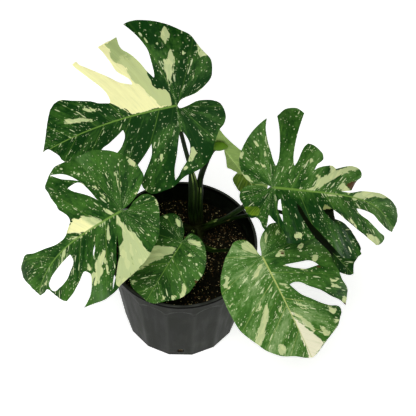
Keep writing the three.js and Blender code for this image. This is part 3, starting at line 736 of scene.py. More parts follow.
def blade_lift(leaf, s, v):
    """The height with the relief of the veins, which fades at the midrib and at the back."""
    root = vein_flow(leaf, s, v)[1]
    field = np.sin(2 * np.pi * vein_count(root, s)) ** 2
    beside = np.clip((np.abs(s) - RELIEF_START) / RELIEF_FADE, 0, 1)
    ahead = np.clip((root - FAN_RELIEF_START) / FAN_RELIEF_FADE, 0, 1)
    return blade_height(leaf, s, v) + VEIN_RELIEF * (field - 0.5) * beside * ahead


def blade_normal(leaf, s, v, lift):
    slope_u = blade_lift(leaf, s + 1, v) - lift
    slope_v = blade_lift(leaf, s + midrib(leaf, v) - midrib(leaf, v + 1), v + 1) - lift
    return unit(np.column_stack([-slope_u, -slope_v, np.ones(len(s))]))


def rib_depth(leaf, s, v):
    """The rib under the midrib, which starts at the stalk and runs out at the tip."""
    depth = RIB_HEIGHT * np.clip(1 - v / leaf["length"], 0, 1) ** RIB_TAPER
    depth *= np.clip(v / RIB_START + 1, 0, 1)
    return depth * np.exp(-((s / (0.5 * depth + 0.6)) ** 2))


def bent(leaf, s, v, z):
    """Where the corners of the flat blade go, in millimetres."""
    places = np.column_stack([s + midrib(leaf, v), v])
    loops = [closed_loop(runs) for runs in [leaf["margin"], *leaf["holes"]]]
    edge = np.min([distance_to(loop, places) for loop in loops], axis=0)
    full = np.minimum(edge / MARGIN_TAPER, 1)
    lift = blade_lift(leaf, s, v)
    taper = THIN_MARGIN + (1 - THIN_MARGIN) * full
    away = z * taper - np.where(z < 0, rib_depth(leaf, s, v) * full, 0)
    shape = np.column_stack([places, lift]) + blade_normal(leaf, s, v, lift) * away[:, None]
    return np.array(leaf["junction"]) + shape @ axes(leaf)


# %% [markdown]
# A mesh can carry numbers of its own for the shader, one set for each corner. That is how
# the finish knows the veins and the patches, with no picture laid over the blade. Every
# leaf takes its own piece of the textures, and its two halves take different ones, so
# that the speckles don't repeat.

# %% Helpers for meshes
def new_object(name, mesh, materials):
    piece = bpy.data.objects.new(name, mesh)
    bpy.context.collection.objects.link(piece)
    for material in materials:
        mesh.materials.append(material)
    return piece


def mesh_from(bm, name):
    mesh = bpy.data.meshes.new(name)
    bm.to_mesh(mesh)
    bm.free()
    return mesh


def store(mesh, name, values):
    """Gives each corner of a mesh three numbers for its finish to read."""
    values = np.column_stack(values).astype(np.float32)
    layer = mesh.attributes.new(name, "FLOAT_VECTOR", "POINT")
    layer.data.foreach_set("vector", values.ravel())


# %% Numbers for the finish of a blade
PATCH_KINDS = ("yellow", "cream", "pale", "brown", "olive", "deep")
YELLOW_EDGE = 4
PAINTED_SHADE_EDGE = 16
PAINTED_SHADE_DROP = 0.4
LEAF_SHIFT = 100
HALF_SHIFT = 40.0
UNDERSIDE = -0.5
SHARP_EDGE = 1


def mark_blade(mesh, leaf, number, s, v):
    reach, root = vein_flow(leaf, s, v)
    places = np.column_stack([s + midrib(leaf, v), v])
    depths = {kind: depth_in(leaf.get(kind, []), places) for kind in PATCH_KINDS}
    cream = np.maximum(depths["cream"], depths["yellow"])
    yellow = np.clip(depths["yellow"] / YELLOW_EDGE + 1, 0, 1)
    # tone is each blade's own lightness, set partly as painted light and shade, and a deep patch lowers
    # it further as painted shade.
    tone = leaf["tone"] - PAINTED_SHADE_DROP * np.clip(depths["deep"] / PAINTED_SHADE_EDGE + 0.5, 0, 1)
    shift = np.where(s > 0, 0.0, HALF_SHIFT) + number * LEAF_SHIFT
    store(mesh, "flow", (reach, root, shift))
    store(mesh, "patches", (cream, depths["pale"], depths["brown"]))
    store(mesh, "blade", (s / leaf["rib"], v / leaf["length"], vein_count(root, s)))
    store(mesh, "tone", (tone, yellow, depths["olive"]))


def make_blade(leaf, number, materials):
    bm = flat_blade(leaf)
    for face in bm.faces:
        face.smooth = True
        face.material_index = int(face.normal.z < UNDERSIDE)
    for edge in bm.edges:
        edge.smooth = edge.calc_face_angle(0) < SHARP_EDGE
    mesh = mesh_from(bm, "blade")
    flat = np.empty(len(mesh.vertices) * 3, np.float32)
    mesh.vertices.foreach_get("co", flat)
    s, v, z = flat.reshape(-1, 3).astype(float).T
    world = bent(leaf, s, v, z)
    mesh.vertices.foreach_set("co", (world * MM).astype(np.float32).ravel())
    mark_blade(mesh, leaf, number, s, v)
    mesh.update()
    piece = new_object(leaf["node"].replace("leaf", "blade"), mesh, materials)
    print(piece.name, len(mesh.vertices), "corners,", len(mesh.polygons), "faces")
    return piece


# %% [markdown]
# Each finish on this plant is a small graph of nodes, and two helpers keep it readable. A
# field is a number or a colour that the shader works out at each point of a surface, and
# it takes plain arithmetic. A finish adds the nodes and links whatever field it is given.

# %% Fields
class Field:
    """A number, place or colour that varies over a surface."""

    def __init__(self, finish, socket):
        self.finish = finish
        self.socket = socket

    def __add__(self, other):
        return self.finish.compute("ADD", self, other)

    def __sub__(self, other):
        return self.finish.compute("SUBTRACT", self, other)

    def __rsub__(self, other):
        return self.finish.compute("SUBTRACT", other, self)

    def __mul__(self, other):
        return self.finish.compute("MULTIPLY", self, other)

    def __truediv__(self, other):
        return self.finish.compute("DIVIDE", self, other)

    def __abs__(self):
        return self.finish.compute("ABSOLUTE", self)

    def larger(self, other):
        return self.finish.compute("MAXIMUM", self, other)

    def zigzag(self, top):
        """Rises to top, falls back to 0 and so on, as the field itself grows."""
        return self.finish.compute("PINGPONG", self, top)

    def between(self, low, high, start=0.0, end=1.0):
        """Goes softly from start to end, while the field itself goes from low to high."""
        inputs = {"Value": self, "From Min": low, "From Max": high, "To Min": start, "To Max": end}
        return self.finish.add("MapRange", 0, inputs, interpolation_type="SMOOTHSTEP")


# %% [markdown]
# The Principled shader has every property that these surfaces need. feed gives a socket
# either a link or a plain value, so that a colour or a roughness can be written either way.

# %% Finishes
class Finish:
    """A material under construction, with one Principled shader."""

    def __init__(self, name):
        self.material = bpy.data.materials.new(name)
        self.material.use_nodes = True
        self.tree = self.material.node_tree
        self.shader = self.tree.nodes["Principled BSDF"]

    def feed(self, socket, value):
        if isinstance(value, Field):
            self.tree.links.new(value.socket, socket)
        else:
            socket.default_value = value

    def node(self, kind, inputs, **settings):
        node = self.tree.nodes.new("ShaderNode" + kind)
        for setting, value in settings.items():
            setattr(node, setting, value)
        for socket, value in inputs.items():
            self.feed(node.inputs[socket], value)
        return node

    def add(self, kind, output, inputs, **settings):
        return Field(self, self.node(kind, inputs, **settings).outputs[output])

    def compute(self, operation, *values):
        return self.add("Math", 0, dict(enumerate(values)), operation=operation)

    def mix(self, amount, first, second):
        return self.add("Mix", 2, {0: amount, 6: first, 7: second}, data_type="RGBA")

    def vector(self, x, y, z):
        return self.add("CombineXYZ", 0, {0: x, 1: y, 2: z})

    def split(self, value):
        return [Field(self, part) for part in self.node("SeparateXYZ", {0: value}).outputs]

    def attribute(self, name):
        return self.split(self.add("Attribute", "Vector", {}, attribute_name=name))

    def noise(self, place, size, detail=2.0, rough=0.5):
        inputs = {"Vector": place, "Scale": 1 / size, "Detail": detail, "Roughness": rough}
        return self.add("TexNoise", "Fac", inputs)

    def object_place(self):
        return self.add("TexCoord", "Object", {})

    def bump(self, height, depth, strength):
        inputs = {"Height": height, "Distance": depth, "Strength": strength}
        self.feed(self.shader.inputs["Normal"], self.add("Bump", 0, inputs))

    def surface(self, color, roughness, **constants):
        self.feed(self.shader.inputs["Base Color"], color)
        self.feed(self.shader.inputs["Roughness"], roughness)
        for socket, value in constants.items():
            self.shader.inputs[socket.replace("_", " ")].default_value = value
        print("finish", self.material.name, "has", len(self.tree.nodes), "nodes")
        return self.material


# %% Colours
def rgb(red, green, blue):
    """A colour given as it looks on a screen, from 0 to 255, made linear."""
    screen = (red, green, blue)
    linear = [((v / 255 + 0.055) / 1.055) ** 2.4 if v > 10 else v / 3295 for v in screen]
    return (*linear, 1.0)

# %% [markdown]
# The upper side is a deep glossy green, lighter along the veins. Such a leaf grows from
# cells that are either green or cream, and their offspring lie in strips along the veins.
# So the cream comes in crisp flecks of a few cells, thick in some fields and sparse in
# others, and here and there a whole sector has no green. A texture of cells stretched
# along the veins gives the flecks, and it breaks the sectors' edges into the same cells.

# %% Flecks along the veins
PAINTED_SHADOW_GREEN = rgb(4, 12, 3)
DEEP_GREEN = rgb(16, 56, 14)
FRESH_GREEN = rgb(78, 128, 46)
FLECK_CREAM = rgb(216, 228, 176)


def along_veins(finish, flow, length, width):
    """A place for textures, so that their grain is long along the veins and narrow across."""
    reach, root, shift = flow
    return finish.vector(reach / length, root / width, shift)


def vein_noise(finish, flow, length, width, detail=2, rough=0.5):
    return finish.noise(along_veins(finish, flow, length, width), 1, detail, rough)


def cells(finish, flow, length, width):
    """The distance to the middle of a cell, and two numbers that each cell has by chance."""
    place = along_veins(finish, flow, length, width)
    node = finish.node("TexVoronoi", {"Vector": place, "Scale": 1.0})
    chance, other, _ = finish.split(Field(finish, node.outputs["Color"]))
    return Field(finish, node.outputs["Distance"]), chance, other


def flecks(finish, flow, length, width, share, radius):
    """Crisp flecks, in as large a share of the cells as asked for at each place."""
    distance, chance, size = cells(finish, flow, length, width)
    chosen = (share - chance).between(0.0, 0.03)
    inside = (size * (0.7 * radius) + 0.45 * radius - distance).between(-0.04, 0.06)
    return chosen * inside


def speckle(finish, flow, amount):
    share = vein_noise(finish, flow, 48, 22).between(0.34, 0.7, 0.08, 0.3) * amount
    near = share * flow[0].between(20, 80, 1.0, 0.4)
    dots = flecks(finish, flow, 6.8, 3.0, share * 0.36, 0.34)
    specks = flecks(finish, flow, 3.6, 1.6, share * 1.75, 0.36)
    streaks = flecks(finish, flow, 14, 2.2, near, 0.44)
    return dots.larger(specks * 0.85).larger(streaks)


def green_skin(finish, flow, tone, lit, amount):
    """The green of a blade, with its flecks and, where it is bright, a milky pale layer that
    is partly real mottling and partly painted sheen. Where lit is low, the green turns to
    a painted shadow green with fewer flecks.
    """
    broad = vein_noise(finish, flow, 60, 26)
    blotch = vein_noise(finish, flow, 9, 4.4, 4, 0.65)
    fresh = broad.between(0.3, 0.72) * 0.6 + blotch.between(0.3, 0.75, -0.2, 0.3) + (tone - 0.35)
    # A milky pale layer, partly real mottling and partly painted sheen, strongest on the lightest
    # blades.
    wash_and_sheen = (broad * 1.6 + blotch - 0.8).between(0.42, 0.95, 0, 0.36) * tone.between(0.4, 0.9)
    marks = speckle(finish, flow, (tone * 0.32 + 0.66) * lit * amount)
    green = finish.mix(fresh.larger(0.0), DEEP_GREEN, FRESH_GREEN)
    # Where lit is low, the green goes to a painted shadow green.
    green = finish.mix(lit, PAINTED_SHADOW_GREEN, green)
    green = finish.mix(wash_and_sheen, green, FLECK_CREAM)
    return finish.mix(marks * 0.86, green, FLECK_CREAM)


# %% [markdown]
# A patch is deeper than 0 inside its outline. The cells and the grain move its edge in and
# out by a millimetre or so, which is how the real sectors break up along the veins.

# %% Patches of other colours
SECTOR_CREAM = rgb(190, 204, 146)
SECTOR_YELLOW = rgb(253, 251, 184)
SECTOR_IVORY = rgb(240, 236, 204)
PALE_GREEN = rgb(196, 208, 142)
EDGE_CELLS = 3.2
EDGE_GRAIN = 2.4


def patch(depth, chance, fray, soft):
    """Where a patch is, with its edge broken into cells and frayed along the veins."""
    edge = depth + (chance - 0.5) * EDGE_CELLS + (fray - 0.5) * EDGE_GRAIN
    return edge.between(-soft, soft)


def sector_skin(finish, flow, tone, yellow, other, streak):
    """A cream sector with some green left in it, or a clear one where yellow is 1."""
    left = flecks(finish, flow, 7, 2.4, streak.between(0.5, 0.75, 0, 0.5), 0.4)
    washed = finish.mix(streak.between(0.4, 0.75, 0, 0.55), SECTOR_CREAM, PALE_GREEN)
    washed = finish.mix(other.between(0.7, 0.72, 0, 0.2), washed, SECTOR_YELLOW)
    washed = finish.mix(left * yellow.between(0, 0.6, 0.7, 0), washed, FRESH_GREEN)
    clear = finish.mix(tone.between(0.7, 0.8), SECTOR_YELLOW, SECTOR_IVORY)
    clear = finish.mix(streak.between(0.45, 0.8, 0, 0.3), clear, SECTOR_CREAM)
    return finish.mix(yellow, washed, clear)


def lobe_skin(finish, reach, chance, streak):
    """The pale green of a lobe, which turns green again at the end of its veins."""
    lobe = finish.mix(streak.between(0.4, 0.7, 0, 0.5), PALE_GREEN, SECTOR_CREAM)
    return finish.mix((chance * 14 + reach).between(108, 114, 0, 0.3), lobe, FRESH_GREEN)


# %% The whole skin of a blade
VEIN_GREEN = rgb(114, 154, 62)
VEIN_CREAM = rgb(192, 204, 116)
DEAD_BROWN = rgb(78, 54, 28)
OLIVE = rgb(50, 84, 8)
OLIVE_LIGHT = rgb(112, 144, 32)


def vein_lines(blade, reach, streak, bleached):
    """The midrib and the side veins, which fade on their way out and in pale patches."""
    across, along, count = blade
    rib = (abs(across) - (1.7 - along * 1.1)).between(-0.6, 0.6, 1, 0) * along.between(-0.02, 0.02)
    main = count.zigzag(1.0).between(0.015, 0.05, 1, 0)
    lesser = count.zigzag(0.5).between(0.01, 0.04, 0.3, 0)
    side = main.larger(lesser) * streak.between(0.3, 0.55, 0.3, 1) * (1.0 - bleached)
    return rib.larger(side * reach.between(15, 120, 0.55, 0.1))


def blade_skin(finish, flow, amount):
    """The colour of a blade, and the lines of its veins."""
    tone, yellow, olive = finish.attribute("tone")
    cream, pale, brown = finish.attribute("patches")
    # lit is a painted shade mask: it drops to 0 where a deep patch takes the tone below 0, and darkens
    # the green, the flecks and the vein lines there.
    lit = tone.between(-0.25, 0.05)
    fray = vein_noise(finish, flow, 22, 3.2, 3, 0.6)
    streak = vein_noise(finish, flow, 34, 3.6, 3, 0.6)
    _, chance, other = cells(finish, flow, 12, 4)
    cream = patch(cream, chance, fray, 0.35)
    pale = patch(pale, chance, fray, 0.5)
    brown = patch(brown, chance, fray, 0.6)
    flap = finish.mix(streak.between(0.4, 0.7), OLIVE, OLIVE_LIGHT)
    color = finish.mix(olive.between(-1.0, 1.0), green_skin(finish, flow, tone, lit, amount), flap)
    color = finish.mix(cream, color, sector_skin(finish, flow, tone, yellow, other, streak))
    color = finish.mix(pale, color, lobe_skin(finish, flow[0], chance, streak))
    lines = vein_lines(finish.attribute("blade"), flow[0], streak, cream.larger(pale)) * lit
    vein_color = finish.mix(tone.between(0.7, 0.8), VEIN_GREEN, VEIN_CREAM)
    color = finish.mix(lines * 0.85, color, vein_color)
    return finish.mix(brown, color, DEAD_BROWN), lines


# %% [markdown]
# The upper side is waxy, with a grain along the veins and fine pores. The underside is
# paler and matt, and its veins stand out.

# %% Finishes of the two sides
UNDER_GREEN = rgb(160, 188, 104)
UNDER_VEIN = rgb(184, 204, 130)
RELIEF = dict(depth=0.0008, strength=0.6)


def upper_finish():
    finish = Finish("blade_upper")
    flow = finish.attribute("flow")
    color, lines = blade_skin(finish, flow, 1.0)
    grain = vein_noise(finish, flow, 16, 2.2)
    pores = finish.noise(finish.object_place(), 0.0016)
    finish.bump(pores * 0.35 + (grain - lines * 0.8), **RELIEF)
    return finish.surface(color, grain.between(0.2, 0.8, 0.34, 0.44), Specular_IOR_Level=0.34)


def under_finish():
    finish = Finish("blade_under")
    flow = finish.attribute("flow")
    olive = finish.attribute("tone")[2]
    color, lines = blade_skin(finish, flow, 0.4)
    weave = vein_noise(finish, flow, 24, 3, 4, 0.65)
    pale = weave.between(0.32, 0.68, 0.6, 0.9) * olive.between(-1.0, 1.0, 1, 0.1)
    color = finish.mix(pale, color, UNDER_GREEN)
    color = finish.mix(lines * 0.6, color, UNDER_VEIN)
    grain = vein_noise(finish, flow, 12, 2)
    finish.bump(grain + lines * 1.2, **RELIEF)
    return finish.surface(color, grain.between(0.2, 0.8, 0.5, 0.64), Specular_IOR_Level=0.35)


# %% Make the seven blades
blade_materials = [upper_finish(), under_finish()]
blades = [make_blade(leaf, number, blade_materials) for number, leaf in enumerate(LEAVES)]
for blade, leaf in zip(blades, LEAVES):
    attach(blade, "root")
    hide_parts(leaf["node"])
print("blades made")

# %% [markdown]
# A stalk is stout as far as its sheath goes, then slender, and it bends where the weight
# of its blade pulls it over. Just under the blade it swells into the joint that turns the
# leaf to the light. A curve with a radius at each of its points makes such a rod, and is
# then turned into a mesh. Its section is round with one shallow channel, as on the real
# stalk. Its end is cut off flat inside the blade.

# %% The route of a stalk
CROWN = dict(x=25, y=46, radius=15, top=196, foot=115)
ROD_STEP = 3.0
EVEN_TAPER = 0.3
SHEATH_END = 0.15
JOINT_PLACE = 0.93
JOINT_LENGTH = 0.05


def route_through(points):
    """A curve like the one through the plain solid's points: no loops on uneven spans."""
    points = [np.array(point, float) for point in points]
    points = [2 * points[0] - points[1], *points, 2 * points[-1] - points[-2]]
    spans = []
    for a, b, c, d in zip(points, points[1:], points[2:], points[3:]):
        ab, bc, cd = (math.sqrt(np.linalg.norm(q - p)) for p, q in ((a, b), (b, c), (c, d)))
        start = ((b - a) / ab - (c - a) / (ab + bc) + (c - b) / bc) * bc
        end = ((c - b) / bc - (d - b) / (bc + cd) + (d - c) / cd) * bc
        spans.append(cubic(b, c, start, end))
    return even_steps(np.vstack([*spans, points[-2]]), ROD_STEP)


def stalk_seat(leaf):
    across, along, _ = axes(leaf)
    seat = leaf["stalk"]["seat"]
    return np.array(leaf["junction"]) + seat[0] * across + seat[1] * along


def stalk_route(leaf):
    seat = stalk_seat(leaf)
    out = axes(leaf)[2]
    knee = [seat - leaf["stalk"]["knee"] * out] if leaf["stalk"]["knee"] else []
    return route_through([*leaf["route"], *knee, seat])


def soft_step(t):
    """Goes softly from 0 to 1, while t does."""
    t = np.clip(t, 0, 1)
    return t * t * (3 - 2 * t)


def stalk_radii(stalk, t):
    bare = soft_step((t - stalk["sheath"]) / SHEATH_END + 1)
    swollen = stalk["swelling"] * np.exp(-(((t - JOINT_PLACE) / JOINT_LENGTH) ** 2))
    slender = EVEN_TAPER * t + (1 - EVEN_TAPER) * bare
    return stalk["foot"] + (stalk["top"] - stalk["foot"]) * slender + swollen


for leaf in LEAVES:
    print(leaf["node"], "has a stalk of", len(stalk_route(leaf)), "steps")

# %% Rods with a channel
ROD_SIDES = 20
CHANNEL_DEPTH = 0.16
CHANNEL_WIDTH = 0.42


def section_curve():
    """The stalk's section: a circle of radius 1 with a shallow channel."""
    curve = bpy.data.curves.new("section", "CURVE")
    outline = curve.splines.new("POLY")
    outline.points.add(ROD_SIDES - 1)
    outline.use_cyclic_u = True
    for k, point in enumerate(outline.points):
        angle = 2 * math.pi * k / ROD_SIDES
        radius = 1 - CHANNEL_DEPTH * math.exp(-(((angle - math.pi) / CHANNEL_WIDTH) ** 2))
        point.co = (radius * math.cos(angle), radius * math.sin(angle), 0, 1)
    return bpy.data.objects.new("section", curve)


section = section_curve()
bpy.context.collection.objects.link(section)
section.hide_render = True


def rod(name, route, radii):
    """A rod along a route, with its own radius at each point. All in millimetres."""
    curve = bpy.data.curves.new(name, "CURVE")
    curve.dimensions = "3D"
    curve.bevel_mode = "OBJECT"
    curve.bevel_object = section
    curve.use_fill_caps = True
    spline = curve.splines.new("POLY")
    spline.points.add(len(route) - 1)
    for point, place, radius in zip(spline.points, route, radii):
        point.co = (*(place * MM), 1)
        point.radius = radius * MM
    holder = bpy.data.objects.new(name, curve)
    bpy.context.collection.objects.link(holder)
    graph = bpy.context.evaluated_depsgraph_get()
    mesh = bpy.data.meshes.new_from_object(holder.evaluated_get(graph))
    bpy.data.objects.remove(holder)
    bpy.data.curves.remove(curve)
    for face in mesh.polygons:
        face.use_smooth = len(face.vertices) == 4
    return mesh


# %% [markdown]
# The stalks are green with fine lengthwise streaks of cream, browner and dustier where
# they leave the crown, and lighter in the joint under the blade.

# %% Finish of the stalks
STALK_GREEN = rgb(6, 17, 2)
STALK_LIGHT = rgb(27, 48, 12)
STALK_CREAM = rgb(96, 118, 56)
STALK_BROWN = rgb(34, 30, 16)
JOINT_GREEN = rgb(96, 136, 36)


def stalk_finish():
    finish = Finish("stalk_skin")
    from_foot, from_blade, around = finish.attribute("stalk")
    streak = finish.noise(finish.vector(from_foot / 40, around, around), 0.5, 3)
    fine = finish.noise(finish.vector(from_foot / 30, around, around), 0.16)
    color = finish.mix(streak.between(0.35, 0.7), STALK_GREEN, STALK_LIGHT)
    color = finish.mix(streak.between(0.68, 0.74), color, STALK_CREAM)
    color = finish.mix(from_foot.between(6, 45, 0.55, 0), color, STALK_BROWN)
    color = finish.mix(from_blade.between(14, 26, 0.85, 0), color, JOINT_GREEN)
    finish.bump(fine, 0.0004, 0.5)
    return finish.surface(color, fine.between(0.3, 0.7, 0.4, 0.55), Specular_IOR_Level=0.16)


stalk_skin = stalk_finish()


# %% Make the seven stalks
STALK_END = 1.0
CLASP = 1.6
CLASP_LENGTH = 14


def corners_of(mesh):
    return np.array([corner.co / MM for corner in mesh.vertices])


def nearest_points(route, corners):
    return np.array([np.argmin(np.sum((route - corner) ** 2, axis=1)) for corner in corners])


def cut_flat(mesh, leaf):
    """Cuts a stalk off where it would come out of the top of its blade."""
    out = Vector(axes(leaf)[2])
    place = Vector(stalk_seat(leaf) * MM) - out * (STALK_END * MM)
    bm = bmesh.new()
    bm.from_mesh(mesh)
    parts = [*bm.verts, *bm.edges, *bm.faces]
    made = bmesh.ops.bisect_plane(bm, geom=parts, plane_co=place, plane_no=out, clear_outer=True)
    edges = [part for part in made["geom_cut"] if isinstance(part, bmesh.types.BMEdge)]
    bmesh.ops.edgenet_fill(bm, edges=edges)
    bmesh.ops.recalc_face_normals(bm, faces=bm.faces[:])
    bm.to_mesh(mesh)
    bm.free()


def make_stalk(leaf, number):
    route = stalk_route(leaf)
    steps = np.arange(len(route)) * ROD_STEP
    clasp = CLASP * np.exp(-steps / CLASP_LENGTH)
    mesh = rod("stalk", route, stalk_radii(leaf["stalk"], steps / steps[-1]) + clasp)
    cut_flat(mesh, leaf)
    corners = corners_of(mesh)
    nearest = nearest_points(route, corners)
    away = corners - route[nearest]
    around = 2 * np.sin(np.arctan2(away[:, 1], away[:, 0])) + number * 7
    store(mesh, "stalk", (steps[nearest], steps[-1] - steps[nearest], around))
    return new_object(leaf["node"].replace("leaf", "stalk"), mesh, [stalk_skin])


stalks = [make_stalk(leaf, number) for number, leaf in enumerate(LEAVES)]
for stalk in stalks:
    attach(stalk, "root")
    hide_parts("stems")
print(len(stalks), "stalks made")

# %% [markdown]
# The foot of each stalk is a sheath that once wrapped the next leaf. Its two edges are
# thin pale lips beside the channel, and one of the sheaths has dried out.

# %% Finish of the sheaths' lips
LIP_GREEN = rgb(58, 84, 26)
LIP_TIP = rgb(160, 182, 104)
LIP_DRY = rgb(120, 92, 66)


def lip_finish():
    finish = Finish("sheath_lip")
    share, dry, _ = finish.attribute("sheath")
    fine = finish.noise(finish.object_place(), 0.003, 3)
    color = finish.mix(share.between(0.1, 0.9), STALK_GREEN, LIP_GREEN)
    color = finish.mix(fine.between(0.35, 0.65, 0, 0.5), color, STALK_GREEN)
    color = finish.mix((fine * 0.2 + share).between(0.9, 1.1), color, LIP_TIP)
    color = finish.mix(dry * fine.between(0.3, 0.6, 0.4, 1), color, LIP_DRY)
    finish.bump(fine, 0.0003, 0.4)
    return finish.surface(color, 0.6, Specular_IOR_Level=0.2)


# %% Lips of the sheaths
LIP_SPREAD = 0.42
LIP_FOOT = 12
LIP_RADIUS = 1.3
LIP_PROUD = 0.1
LIP_SHORT = 0.04
LIP_TAPER = 8
THIN_LIP = 0.05
DRIED_SHEATHS = ("leaf_shaded",)


def lip_directions(route, wrapped):
    """The two ways from the middle of a stalk to the edges of its sheath."""
    ahead = np.gradient(route, axis=0)
    inward = np.array([CROWN["x"], CROWN["y"], 0]) - route[wrapped].mean(axis=0)
    inward[2] = 0
    beside = unit(np.cross(ahead, unit(inward)))
    front = unit(np.cross(beside, ahead))
    return [math.cos(LIP_SPREAD) * front + side * math.sin(LIP_SPREAD) * beside for side in (-1, 1)]


def make_lips(leaf, skin):
    route = stalk_route(leaf)
    t = np.linspace(0, 1, len(route))
    radii = stalk_radii(leaf["stalk"], t) + LIP_PROUD
    above_foot = np.arange(len(route)) * ROD_STEP > LIP_FOOT
    wrapped = above_foot & (t < leaf["stalk"]["sheath"] - LIP_SHORT)
    bm = bmesh.new()
    for away in lip_directions(route, wrapped):
        line = (route + away * radii[:, None])[wrapped]
        share = np.linspace(0, 1, len(line))
        thinning = np.sqrt(np.clip((1 - share) * LIP_TAPER, THIN_LIP, 1))
        mesh = rod("lip", line, LIP_RADIUS * thinning)
        nearest = nearest_points(line, corners_of(mesh))
        dried = np.full(len(nearest), float(leaf["node"] in DRIED_SHEATHS))
        store(mesh, "sheath", (share[nearest], dried, dried * 0))
        bm.from_mesh(mesh)
    return new_object(leaf["node"].replace("leaf", "sheath"), mesh_from(bm, "sheath"), [skin])


lip_skin = lip_finish()
sheaths = [make_lips(leaf, lip_skin) for leaf in LEAVES]
for sheath in sheaths:
    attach(sheath, "root")
bpy.data.objects.remove(section)
print(len(sheaths), "sheaths made")

# %% [markdown]
# The crown is a short stout stem with the rings that old leaves left on it. Spinning a
# profile about its axis makes it, and it stands well down in the soil. It has the skin
# that a stalk has near its foot.

# %% The crown
CROWN_RINGS = 5
RING_HEIGHT = 0.6
CROWN_STEPS = 40
CROWN_DOME = 0.8
CROWN_SIDES = 32
SKIN_FROM_FOOT = 8.0
SKIN_FROM_BLADE = 90.0


def spun(profile, steps, center=(0, 0)):
    """A profile of (radius, height) points turned about an upright axis, in millimetres."""
    bm = bmesh.new()
    corners = [bm.verts.new((radius * MM, 0, z * MM)) for radius, z in profile]
    for a, b in zip(corners, corners[1:]):
        bm.edges.new((a, b))
    bmesh.ops.spin(bm, geom=bm.verts[:] + bm.edges[:], angle=2 * math.pi, steps=steps,
                   axis=(0, 0, 1), cent=(0, 0, 0), use_merge=True)
    bmesh.ops.remove_doubles(bm, verts=bm.verts[:], dist=1e-6)
    bmesh.ops.recalc_face_normals(bm, faces=bm.faces[:])
    bmesh.ops.translate(bm, verts=bm.verts[:], vec=(center[0] * MM, center[1] * MM, 0))
    for face in bm.faces:
        face.smooth = True
    return bm


def crown_profile():
    points = [(0, CROWN["foot"])]
    for k in range(CROWN_STEPS):
        t = k / CROWN_STEPS
        ring = RING_HEIGHT * (abs(math.sin(2 * math.pi * CROWN_RINGS * t)) - 1)
        dome = math.sqrt(1 - (max(0, t - CROWN_DOME) / (1 - CROWN_DOME)) ** 2)
        height = CROWN["foot"] + (CROWN["top"] - CROWN["foot"]) * t
        points.append(((CROWN["radius"] + ring) * dome, height))
    return [*points, (0, CROWN["top"])]


def make_crown():
    mesh = mesh_from(spun(crown_profile(), CROWN_SIDES, (CROWN["x"], CROWN["y"])), "crown")
    z = corners_of(mesh)[:, 2]
    store(mesh, "stalk", (z * 0 + SKIN_FROM_FOOT, z * 0 + SKIN_FROM_BLADE, z / 3))
    return new_object("crown", mesh, [stalk_skin])


crown = make_crown()
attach(crown, "root")
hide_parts("stems")
print("crown made")

# %% [markdown]
# The pot is thin moulded plastic. Its side is a cone pressed into sixteen flat panels,
# which end in arches near the top, and a shallow lip stands proud of the rim. The
# profile is spun in many steps, and each corner is then moved in to its panel.

# %% The pot's panels
POT = dict(height=215, rim=127, base=107.4, wall=2.2, floor=3, proud=3.2, lip=7)
PANELS = 16
PANEL_TURN = 0.033
ARCH_FOOT, ARCH_TOP = 168, 190
ARCH_EDGE = 2.5
FOOT_RING = 6.5


def cone_radius(z):
    share = z / (POT["height"] - POT["lip"])
    return POT["base"] + (POT["rim"] - POT["proud"] - POT["base"]) * share


def over_arch(z, turned):
    """0 on a panel and 1 over its arch, at an angle turned from the panel's middle."""
    wide = turned * PANELS / math.pi
    arch = ARCH_FOOT + (ARCH_TOP - ARCH_FOOT) * math.sqrt(max(0, 1 - wide**2))
    return soft_step((z - arch) / ARCH_EDGE + 1)


def from_middle(angle):
    panel = 2 * math.pi / PANELS
    return (angle - PANEL_TURN + panel / 2) % panel - panel / 2


def panel_share(z, angle):
    """How far in a panel lies under its arch, as a share of the cone's radius."""
    turned = from_middle(angle)
    t = over_arch(z, turned)
    flat = math.cos(math.pi / PANELS) * (1 - t) + t
    return np.minimum(1, flat / np.cos(turned))


def press_in(corner):
    """Moves a corner of the cone in to its panel."""
    x, y, z = corner.co / MM
    share = panel_share(z, math.atan2(y, x))
    corner.co.x *= share
    corner.co.y *= share


# %% The pot's profile
def pot_profile():
    lip_foot = POT["height"] - POT["lip"]
    wall, rim = POT["wall"], POT["rim"]
    side = [2, 4, FOOT_RING, 8, 20, 50, 80, 110, 140, 152, *np.arange(160, 194, 1.25), 197, 203]
    outer = [(cone_radius(z), z) for z in side]
    inner = [(cone_radius(z) - wall, z) for z in [*reversed(side[5:]), 8]]
    foot = [(0, 1.2), (88, 1.2), (92, 0), (cone_radius(0) - 3, 0), (cone_radius(0) - 0.8, 0.6)]
    under_lip = [(cone_radius(207), lip_foot - 0.4), (cone_radius(lip_foot) + 0.3, lip_foot + 0.2)]
    lip = [(rim - 0.7, lip_foot + 0.5), (rim - 0.1, lip_foot + 1.1), (rim, lip_foot + 2.5),
           (rim - 0.1, 213.4), (rim - 0.5, 214.4), (rim - 1.3, 214.9), (rim - 2.2, 215),
           (rim - 4.2, 214.9), (rim - 5, 214.4), (rim - 5.3, 213.2), (rim - 5.4, lip_foot)]
    floor = [(cone_radius(4) - wall - 2, POT["floor"]), (0, POT["floor"])]
    return [*foot, *outer, *under_lip, *lip, *inner, *floor]


print("pot drawn with", len(pot_profile()), "points")


# %% [markdown]
# Four round drain holes go through the side, each in the middle of a panel. A corner near
# the raised edge of an arch or a panel is marked for a highlight painted along that edge.

# %% Drain holes
DRAIN = dict(count=4, radius=6.5, height=20)
DRAIN_SIDES = 32
CUTTER_LENGTH = 0.03


def drain_angle(number):
    return PANEL_TURN + 2 * math.pi * number / DRAIN["count"] - math.pi / 2


